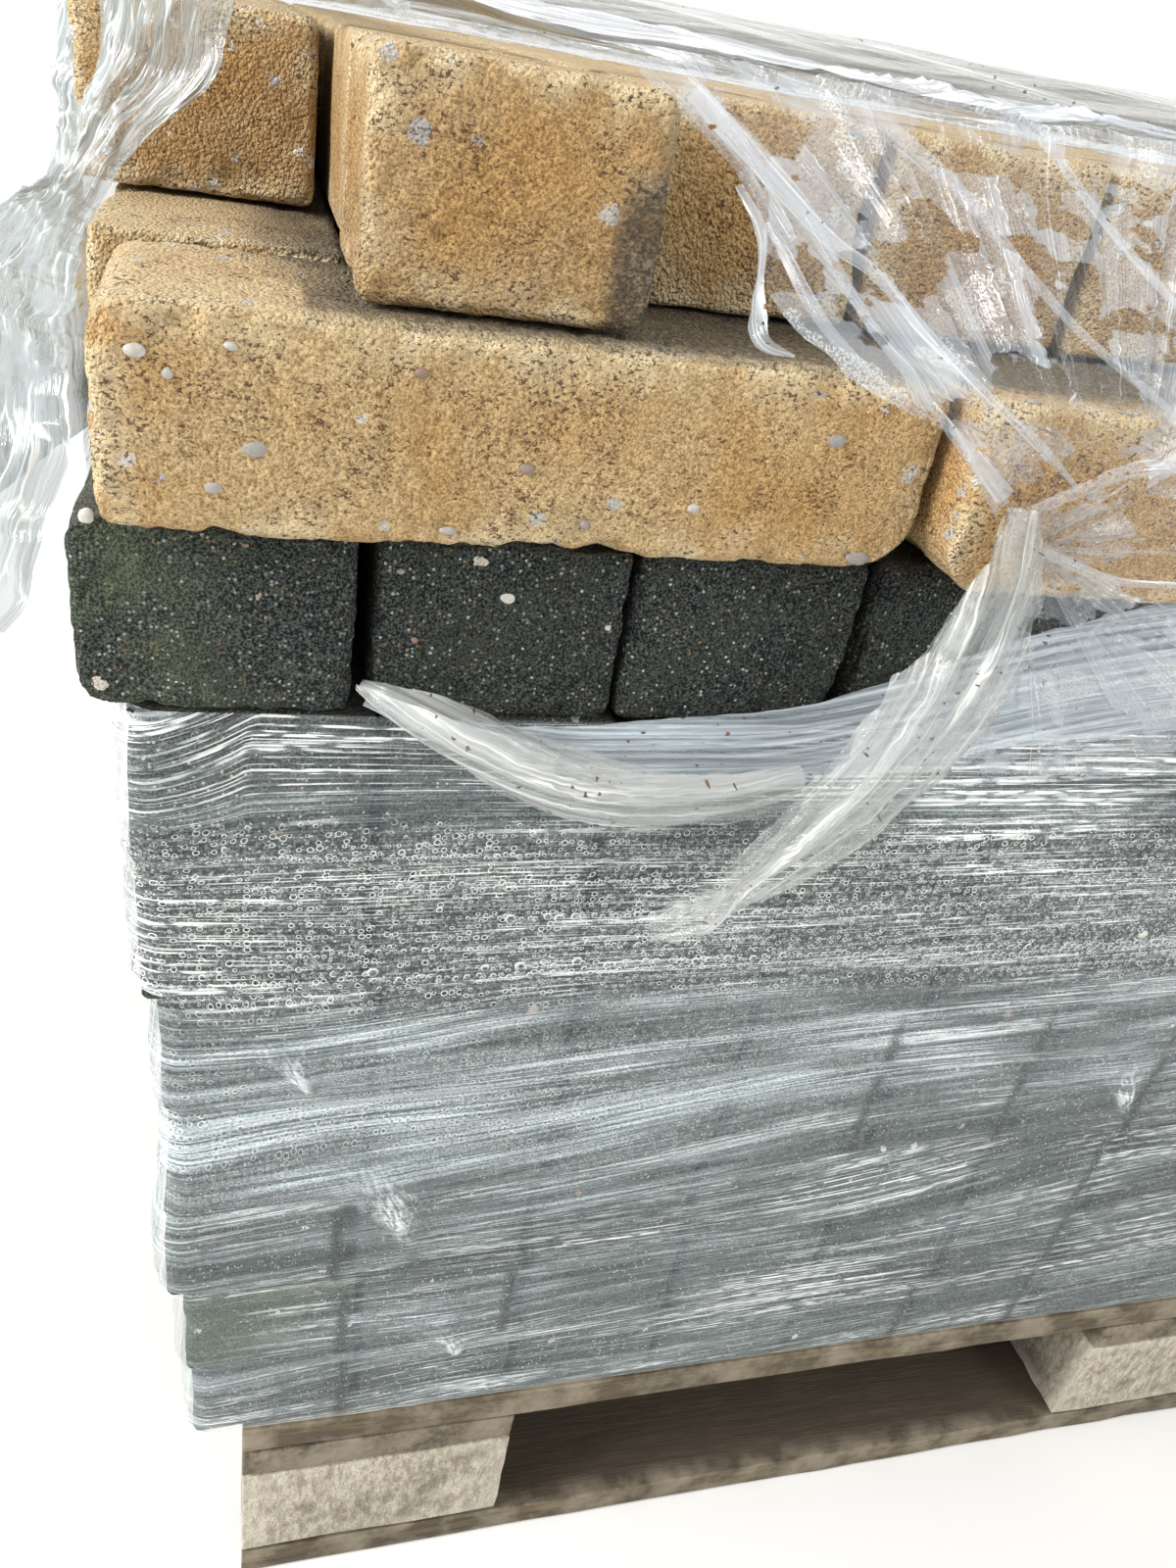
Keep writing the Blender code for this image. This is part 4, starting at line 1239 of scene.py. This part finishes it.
def tension(x, z):
    """Pleats that run to the gather: how far they stand out, and how white they are, which is partly a
    painted highlight on their creases.
    """
    dx, dz = x - GATHER[0], z - GATHER[1]
    away, angle = np.hypot(dx, dz), np.arctan2(dz, dx) * 0.1
    pleat = ridges(away, angle, 0.35, 0.014, 51, 0.25, 3)
    crease = ridges(away, angle, 0.25, 0.0048, 52, 0.25, 6)
    return (0.006 * pleat + 0.0026 * crease) * step_up(away, 0.0, 0.05), crease ** 2


# Taut strands of the torn front, as the photograph shows them: pixels along each, and half widths in metres
STRANDS = (
    (((745, 195), (768, 245), (764, 310), (768, 350), (800, 366)), (0.001, 0.0016, 0.0012, 0.003, 0.0004)),
    (((750, 180), (798, 277), (830, 334), (872, 378), (906, 406)), (0.0022, 0.0014, 0.0018, 0.0014, 0.0003)),
    (((690, 95), (760, 165), (806, 215), (844, 280), (883, 342), (932, 407), (966, 450), (1012, 506)),
     (0.0036, 0.004, 0.0026, 0.0016, 0.0013, 0.0011, 0.002, 0.003)),
    (((700, 100), (825, 238), (879, 280), (932, 342), (982, 395), (1020, 430), (1055, 464), (1085, 498)),
     (0.003, 0.0026, 0.0022, 0.0018, 0.0016, 0.0014, 0.0015, 0.0006)),
    (((655, 68), (720, 130), (770, 200), (800, 250)), (0.004, 0.0045, 0.003, 0.001)),
    (((780, 95), (880, 130), (974, 208), (1036, 284), (1100, 353), (1190, 430)),
     (0.004, 0.003, 0.002, 0.0015, 0.0012, 0.001)),
    (((1010, 520), (985, 480), (960, 440)), (0.003, 0.002, 0.0008)),
    (((1040, 130), (1120, 240), (1200, 330), (1290, 420)), (0.002, 0.0014, 0.0012, 0.001)),
    (((1040, 520), (1090, 500), (1140, 480), (1200, 478), (1330, 490)), (0.0014, 0.0024, 0.0012, 0.0008)),
    (((1050, 560), (1120, 590), (1200, 596), (1330, 600)), (0.002, 0.0012, 0.001, 0.0006)),
)


def add_strands(pile):
    for number, (pixels, halves) in enumerate(STRANDS):
        path = [film_front_at(pixel) + (0, -0.006, 0.002) for pixel in pixels]
        add_ribbon(pile, path, halves, (0.7, 0.2, 0.7), 600 + 10 * number, 90, 12, 0.4, (0.0012, 0.0006),
                   (0, 30), 0.15, 0.42, 0.6, beads=0)


def upper_front():
    """The torn front sheet, from the tear to the right corner and up over the top edge."""
    torn_x, torn_z = np.array(FILM_TORN[::-1]).T
    path = np.linspace(0, WAY_UP[-1], 150)
    height = np.interp(path, WAY_UP, (UPPER_LOW, LEDGE, CREST, CREST + 0.003))
    step_in = WALL_TOP_FRONT - WALL_FRONT
    inward = np.interp(path, WAY_UP, (0, 0, step_in, step_in + LIP))[:, None]
    blend = step_up(path, WAY_UP[2] - 0.004, WAY_UP[2] + 0.014)
    left = np.interp(height, torn_z, torn_x) * (1 - blend) + TOP_LEFT * blend
    left = (left + 0.004 * rough(flat(path, 0), 0.01, 81))[:, None]
    x = left + (WALL_RIGHT - left) * np.linspace(0, 1, 236) ** 1.7
    z, path = height[:, None] + 0 * x, path[:, None]
    slanting = step_up(path, WAY_UP[1] - 0.004, WAY_UP[1] + 0.004)
    on_top = step_up(path, WAY_UP[2] - 0.003, WAY_UP[2] + 0.008)
    out, white = tension(x, z)
    slack = 0.006 * bell(x - GATHER[0], 0.05) * bell(z - GATHER[1], 0.03)
    wave = 0.0025 * rough(flat(x, path), 0.045, 83)
    push = ((out + wave) * step_up(z, UPPER_LOW, UPPER_LOW + 0.02) + slack) * (1 - on_top)
    tent = 0.004 * bell(inward - step_in, 0.01)
    crumple = 0.0075 * ridges(x, inward, 0.1, 0.022, 85, 0.8, 2)
    crumple += 0.004 * ridges(x, inward, 0.05, 0.009, 86, 0.8, 2)
    points = layers(x, WALL_FRONT + inward - push * (1 - 0.25 * slanting) - tent * (1 - on_top),
                    z + push * 0.65 * slanting + on_top * crumple + tent * 0.5)
    haze = 0.6 + 0.45 * rough(flat(x, path), 0.035, 84) + 0.8 * on_top
    veil = layers(haze, np.clip(white + 0.7 * on_top, 0, 1), 0.2 + 0.25 * on_top, 1 - on_top)
    dx, dz = x - GATHER[0], z - GATHER[1]
    wraps = layers(np.hypot(dx, dz), np.arctan2(dz, dx) * 0.12)
    wraps = np.where(on_top[..., None] > 0.5, layers(x, inward), wraps)
    pile = Pile()
    pile.add_grid(points, veil, wraps)
    add_strands(pile)
    made = pile.build("film_torn_front", FILM_OVER)
    keep(made, "stretch_film", "film_upper")
    let_light_through(made)


def upper_round():
    """The film's right, back and left sides, up to the tear on the left."""
    corners = np.array(((WALL_RIGHT, WALL_FRONT), (WALL_RIGHT, WALL_BACK), (WALL_LEFT, WALL_BACK),
                        (WALL_LEFT, TORN_LEFT)))
    sides = zip(corners, corners[1:], ((1, 0), (0, 1), (-1, 0)), (60, 90, 60))
    xy, outward = [], []
    for start, end, out, count in sides:
        xy.append(start + (end - start) * np.linspace(0, 1, count)[:, None])
        outward.append(np.full((count, 2), out, float))
    xy, outward = np.vstack(xy), np.vstack(outward)
    walked = way_along(xy)
    for corner in (59, 149):
        outward[corner:corner + 2] = outward[corner] + outward[corner + 1]
    path = np.linspace(0, 0.29, 60)
    z = np.interp(path, (0, 0.184, 0.29), (UPPER_LOW, 0.7485, CREST + 0.002))[:, None] + 0 * walked
    inward = np.interp(path, (0, 0.12, 0.184, 0.29), (0, 0.002, 0.01, 0.115))[:, None] + 0 * walked
    push = 0.0035 * ridges(walked, z, 0.35, 0.02, 91) + 0.0015 * ridges(walked, z, 0.2, 0.007, 92) - inward
    lift = 0.006 * ridges(walked, inward, 0.1, 0.025, 93, 0.8, 2) * step_up(inward, 0.01, 0.02)
    points = layers(xy[:, 0] + outward[:, 0] * push, xy[:, 1] + outward[:, 1] * push, z + lift)
    veil = layers(0.85 + 0.4 * rough(flat(walked, z), 0.06, 94), 0.6, 0.15, 0.3)
    made = film_object("film_upper_sides", points, veil, layers(walked, z), FILM_SLEEVE)
    keep(made, "stretch_film")
    let_light_through(made)


def gathered_tail():
    """The loose end of film below the gather: two pleated layers that lie on each other."""
    path = seen_path(
        ((1048, 520), -0.4465), ((1030, 590), -0.451), ((985, 680), -0.4535), ((925, 760), -0.452),
        ((850, 830), -0.448), ((760, 895), -0.444), ((700, 930), -0.441), ((660, 948), -0.438))
    pile = Pile()
    side = (0.75, 0, 0.66)
    halves = (0.005, 0.0115, 0.018, 0.0215, 0.0215, 0.0205, 0.017, 0.006)
    add_ribbon(pile, path, halves, side, 311, 160, 72, 0.35, (0.0056, 0.0066), (0, 12), 0.2, 0.45, 1.0,
               beads=0.7)
    under = [point + (0.0015, 0.004, -0.001) for point in path]
    halves = (0.004, 0.012, 0.019, 0.022, 0.0215, 0.0185, 0.015, 0.004)
    add_ribbon(pile, under, halves, side, 331, 120, 48, 0.15, (0.006, 0.004), (-14, 10), 0.16, 0.55, 0.6,
               0.004)
    made = pile.build("film_gathered_tail", FILM_GATHERED)
    keep(made, "stretch_film", "film_tail")


def twisted_rope():
    """The twisted edge of the sleeve that sags from a joint of course 8 to the tail."""
    path = seen_path(
        ((366, 700), -0.415), ((400, 716), -0.4235), ((470, 752), -0.429), ((560, 795), -0.43),
        ((650, 815), -0.43), ((740, 815), -0.432), ((820, 800), -0.435))
    pile = Pile()
    halves = (0.0015, 0.008, 0.0115, 0.0115, 0.01, 0.0085, 0.007)
    add_ribbon(pile, path, halves, (0, 0, 1), 341, 170, 48, 0.75, (0.0046, 0.0034), (35, -25), 0.12, 1.1, 0.9)
    behind = [point + (0.001, 0.003, -0.001) for point in path]
    add_ribbon(pile, behind, halves, (0, 0.3, 1), 351, 130, 36, 0.3, (0.004, 0.003), (-40, 30), 0.12, 1.25,
               0.9, 0.003)
    made = pile.build("film_twisted_rope", FILM_GATHERED)
    keep(made, "stretch_film", "film_rope")


def bunched_band():
    """The sleeve's top edge, drawn up in a white streaky band below the dark course."""
    path = seen_path(
        ((372, 716), -0.417), ((450, 744), -0.4195), ((560, 764), -0.42), ((680, 766), -0.42),
        ((800, 762), -0.4205), ((930, 736), -0.421), ((1080, 700), -0.4215), ((1240, 676), -0.422),
        ((1500, 654), -0.422))
    pile = Pile()
    halves = (0.0015, 0.007, 0.013, 0.0165, 0.0205, 0.0255, 0.03, 0.03, 0.024)
    add_ribbon(pile, path, halves, (0, 0, 1), 361, 230, 64, 0.05, (0.0028, 0.0016), (0, 0), 0.05, 1.15, 1.0)
    made = pile.build("film_bunched_band", FILM_BAND)
    keep(made, "stretch_film")


# The rolled rim: its corners, height and half sizes, and how far round each corner it bends
RIM_CORNERS = ((-0.571, -0.284), (0.497, -0.286), (0.497, 0.301), (-0.573, 0.301))
RIM_HEIGHT, RIM_HALF, RIM_HALF_TALL, RIM_BEND = 0.7622, 0.0105, 0.0072, 0.03


def rolled_rim():
    """The film's rolled edge round the top."""
    line = []
    for place in range(4):
        here, before, after = (np.array(RIM_CORNERS[(place + k) % 4]) for k in (0, -1, 1))
        line += [here + unit(before - here) * RIM_BEND, here, here + unit(after - here) * RIM_BEND]
        line.append((here + after) / 2 + (0.004 * jitter(place, 1), 0.004 * jitter(place, 2)))
    line = np.array(line + [line[0]])
    path, walked = smooth_path(np.column_stack((line, np.full(len(line), RIM_HEIGHT))), 520)
    across = unit(np.cross(unit(np.gradient(path, axis=0)), UP))
    angle, along = np.linspace(0, 2 * math.pi, 26, endpoint=False), walked[:, None]
    twisted = angle + along * 9
    round_ = flat(np.cos(twisted), np.sin(twisted), along * 14)
    folds = ridges(along, np.sin(twisted) * 0.02 + np.cos(twisted * 2) * 0.01, 0.12, 0.012, 301, 0.4, 2)
    swell = 1 + 0.22 * rough(round_, 0.9, 302) + 0.3 * (folds - 0.45)
    wide, tall = RIM_HALF * np.cos(angle) * swell, RIM_HALF_TALL * np.sin(angle) * swell
    points = path[:, None, :] + across[:, None, :] * wide[..., None] + UP * tall[..., None]
    index = np.arange(twisted.size).reshape(twisted.shape)
    following = np.roll(index, -1, axis=1)
    faces = layers(index[:-1], index[1:], following[1:], following[:-1]).reshape(-1, 4)
    veil = layers(1.45 + 0.4 * rough(round_, 1.3, 303), folds, 0.5, 0.2)
    made = new_object("film_rolled_rim", points.reshape(-1, 3), faces, FILM_GATHERED, veil.reshape(-1, 4),
                      layers(along, twisted * 0.01).reshape(-1, 2))
    keep(made, "stretch_film", "film_rim")


upper_front()
upper_round()
gathered_tail()
twisted_rope()
bunched_band()
rolled_rim()


# The torn curtain at the left front corner: its free edge from the rim down, as it shows in the photograph

CURTAIN_EDGE = ((-0.603, -0.282, 0.754), (-0.61, -0.277, 0.724), (-0.631, -0.276, 0.706),
                (-0.6445, -0.281, 0.688), (-0.647, -0.318, 0.679), (-0.6475, -0.357, 0.669),
                (-0.6455, -0.382, 0.662), (-0.644, -0.402, 0.654), (-0.643, -0.412, 0.645),
                (-0.647, -0.416, 0.633), (-0.6505, -0.417, 0.625), (-0.653, -0.417, 0.614),
                (-0.656, -0.417, 0.601), (-0.663, -0.417, 0.592))
CURTAIN_ANCHOR, CURTAIN_OUTMOST = -0.6585, -0.701
CURTAIN_SWING = (0.006, 0.008, 0.012, 0.008, 0.012, 0.022, 0.032, 0.04, 0.045, 0.048, 0.048, 0.046, 0.044,
                 0.04)


def curtain():
    """The loose film at the corner, from a fold behind it round to its free edge."""
    edge, walked = smooth_path(CURTAIN_EDGE, 190)
    x, y, z = edge.T[..., None]
    swing = at_shares(CURTAIN_SWING, np.linspace(0, 1, len(edge)))[:, None]
    h = np.linspace(0, 1, 108)
    anchor = (CURTAIN_ANCHOR, np.maximum(y + 0.075, -0.215), z)
    out = (CURTAIN_ANCHOR - 0.0005 - swing * 1.35, y + 0.012, z - 0.002)
    points = layers(*(start * (1 - h) ** 2 + 2 * bend * h * (1 - h) + end * h ** 2
                      for start, bend, end in zip(anchor, out, (x, y, z))))
    normal = unit(np.cross(np.gradient(points, axis=0), np.gradient(points, axis=1)))
    along, over = walked[:, None] + 0 * h, h * 0.11 + 0 * walked[:, None]
    fold = ridges(along, over + 0.15 * along, 0.075, 0.018, 403, 0.6, 2) - 0.45
    crease = ridges(along, over - 0.2 * along, 0.04, 0.0072, 404, 0.6, 3) - 0.3
    crackle = ridges(over, along, 0.03, 0.012, 405, 0.8, 4) - 0.2
    bend = (0.0046 * fold + 0.0022 * crease + 0.0013 * crackle) * np.minimum(1, 0.25 + 1.6 * h)
    ragged = 0.0035 * rough(flat(along, 0), 0.009, 406) * step_up(h, 0.8, 1.0)
    points = points + normal * bend[..., None] + np.array((0.5, -0.3, 0.8)) * ragged[..., None]
    points[..., 0] = np.maximum(points[..., 0], CURTAIN_OUTMOST)
    veil = layers(0.85 + 0.45 * rough(flat(along, over), 0.02, 407), np.clip(0.35 + crease + crackle, 0, 1.2),
                  0.05, 0.2)
    made = film_object("film_torn_curtain", points, veil, layers(along, over), FILM_CRUMPLED)
    keep(made, "stretch_film", "film_curtain")
    let_light_through(made)


curtain()


# Drops of water inside the sleeve

# The zone with rows of small drops
BEADED_LOW, BEADED_HIGH, BEAD_PITCH = 0.4465, 0.528, 0.0042
BEADED_LEFT, BEADED_RIGHT = -0.634, -0.2
# Lines of larger drops: height, first and last x, and size
DROP_LINES = ((0.456, -0.56, 0.05, 0.0012), (0.4595, -0.52, 0.02, 0.0015), (0.483, -0.52, -0.3, 0.0015),
              (0.469, -0.6, -0.4, 0.0012), (0.499, -0.6, -0.44, 0.0012), (0.513, -0.6, -0.5, 0.001),
              (0.452, -0.4, 0.1, 0.0009), (0.445, -0.3, 0.2, 0.001), (0.428, -0.25, 0.2, 0.0009),
              (0.385, -0.58, -0.3, 0.0006), (0.412, -0.6, -0.35, 0.0006), (0.37, -0.56, -0.4, 0.0006))
# The largest drops: x and z, and their size
LARGE_DROPS = ((-0.5067, 0.4831), (-0.4882, 0.4825), (-0.5546, 0.4596), (-0.5, 0.46), (-0.478, 0.461))
LARGE_DROP = 0.0023


def drop_places(random):
    """Drops in rows: small ones all over the beaded zone, larger ones along a few lines."""
    places = []
    for z in np.arange(BEADED_LOW, BEADED_HIGH, BEAD_PITCH):
        x = BEADED_LEFT
        while x < BEADED_RIGHT:
            size = random.choice((0.0005, 0.0007, 0.001), p=(0.5, 0.35, 0.15))
            x += size * random.uniform(2.4, 14.0)
            if noise(np.array((x, z * 3, 1.0)), 0.03, 12) > -0.25:
                places.append((x, z + random.normal(0, 0.0006), size))
    for z, x, end, size in DROP_LINES:
        while x < end:
            own = size * random.uniform(0.45, 1.2)
            x += own * random.uniform(2.1, 3.9)
            places.append((x, z + random.normal(0, 0.0006) + 0.004 * (x + 0.5), own))
    return np.array(places + [(x, z, LARGE_DROP) for x, z in LARGE_DROPS])


def drop_film(name):
    """A drop pressed against the film: clear with painted shade in its middle, and a painted bright highlight
    as its ring.
    """
    s = Shader(name)
    s.put(s.bsdf, {"Alpha": s.span(s.wear, 0, 1, 0.3, 0.95), "Specular IOR Level": 0.8})
    return s.finish(s.mix(s.wear, (0.035, 0.042, 0.04), (0.74, 0.78, 0.8)), 0.06)


def drops():
    """Small domes of water in rows on the sleeve's front."""
    rings, sides = 3, 6
    shape, faces = dome(rings, sides)
    x, z, size = drop_places(np.random.default_rng(7)).T[..., None]
    y = sleeve_face(x, z)
    points = layers(x + shape[:, 0] * size, y - shape[:, 2] * size * 0.6 + 0.0001, z + shape[:, 1] * size)
    every = faces + np.arange(len(x))[:, None, None] * len(shape)
    # The second tone marks the drop's painted highlight ring and its darkened middle.
    ring = np.repeat((0.0, 0.05, 1.0, 0.5), (1, sides, sides, sides))
    tones = layers(0.0, ring + 0 * x, 0.0, 0.0)
    made = new_object("water_drops", points.reshape(-1, 3), every.reshape(-1, 3), drop_film("drops"),
                      tones.reshape(-1, 4))
    keep(made, "stretch_film")
    let_light_through(made)


drops()


# Floor, light and view

FLOOR_HALF = 6.0
# The sky's strength as a light
SKY_LIGHT = 0.72
# Lamps: name, place, what they face, size and power in watts
LAMPS = (("key", (-2.7, -0.8, 1.9), (-0.3, -0.3, 0.4), (1.1, 1.1), 104),
         ("fill", (1.4, -2.3, 1.6), (0, -0.2, 0.4), (1.0, 1.0), 34),
         ("top", (0.0, 0.6, 3.0), (0, 0, 0.4), (1.6, 1.6), 35))


def stage():
    """A pale floor that fades to white away from the pallet where the camera sees it."""
    s = Shader("floor")
    material = s.finish((0.8, 0.79, 0.77), 0.9)
    away = s.add("VectorMath", [s.place], operation="LENGTH").outputs["Value"]
    share = s.product(s.span(away, 0.75, 1.9), s.add("LightPath").outputs["Is Camera Ray"])
    white = s.add("Emission", dict(Color=(1.0, 1.0, 1.0)))
    blend = s.add("MixShader", (share, s.bsdf.outputs[0], white.outputs[0]))
    s.put(s.tree.nodes["Material Output"], dict(Surface=blend.outputs[0]))
    corners = np.array(((-1, -1, 0), (1, -1, 0), (1, 1, 0), (-1, 1, 0))) * FLOOR_HALF
    made = new_object("floor", corners, [[0, 1, 2, 3]], material)


def add_lamp(name, place, target, size, power):
    lamp = bpy.data.lights.new(name, "AREA")
    lamp.shape = "RECTANGLE"
    lamp.size, lamp.size_y = size
    lamp.energy = power
    body = bpy.data.objects.new(name, lamp)
    body.location = place
    body.rotation_euler = (Vector(target) - Vector(place)).to_track_quat("-Z", "Y").to_euler()
    bpy.context.scene.collection.objects.link(body)


def light():
    """Three lamps, and a sky that is white to the eye and dimmer as a light."""
    world = bpy.data.worlds.new("world")
    world.use_nodes = True
    bpy.context.scene.world = world
    sky = Nodes(world.node_tree)
    path = sky.add("LightPath").outputs
    seen = sky.math("MAXIMUM", path["Is Camera Ray"], path["Is Transmission Ray"])
    seen = sky.math("MAXIMUM", seen, path["Is Glossy Ray"])
    strength = sky.span(seen, 0.0, 1.0, SKY_LIGHT, 1.0)
    sky.put(world.node_tree.nodes["Background"], dict(Color=(1.0, 1.0, 1.0), Strength=strength))
    for lamp in LAMPS:
        add_lamp(*lamp)


stage()
light()
add_camera()
bpy.context.scene.view_settings.view_transform = "Standard"
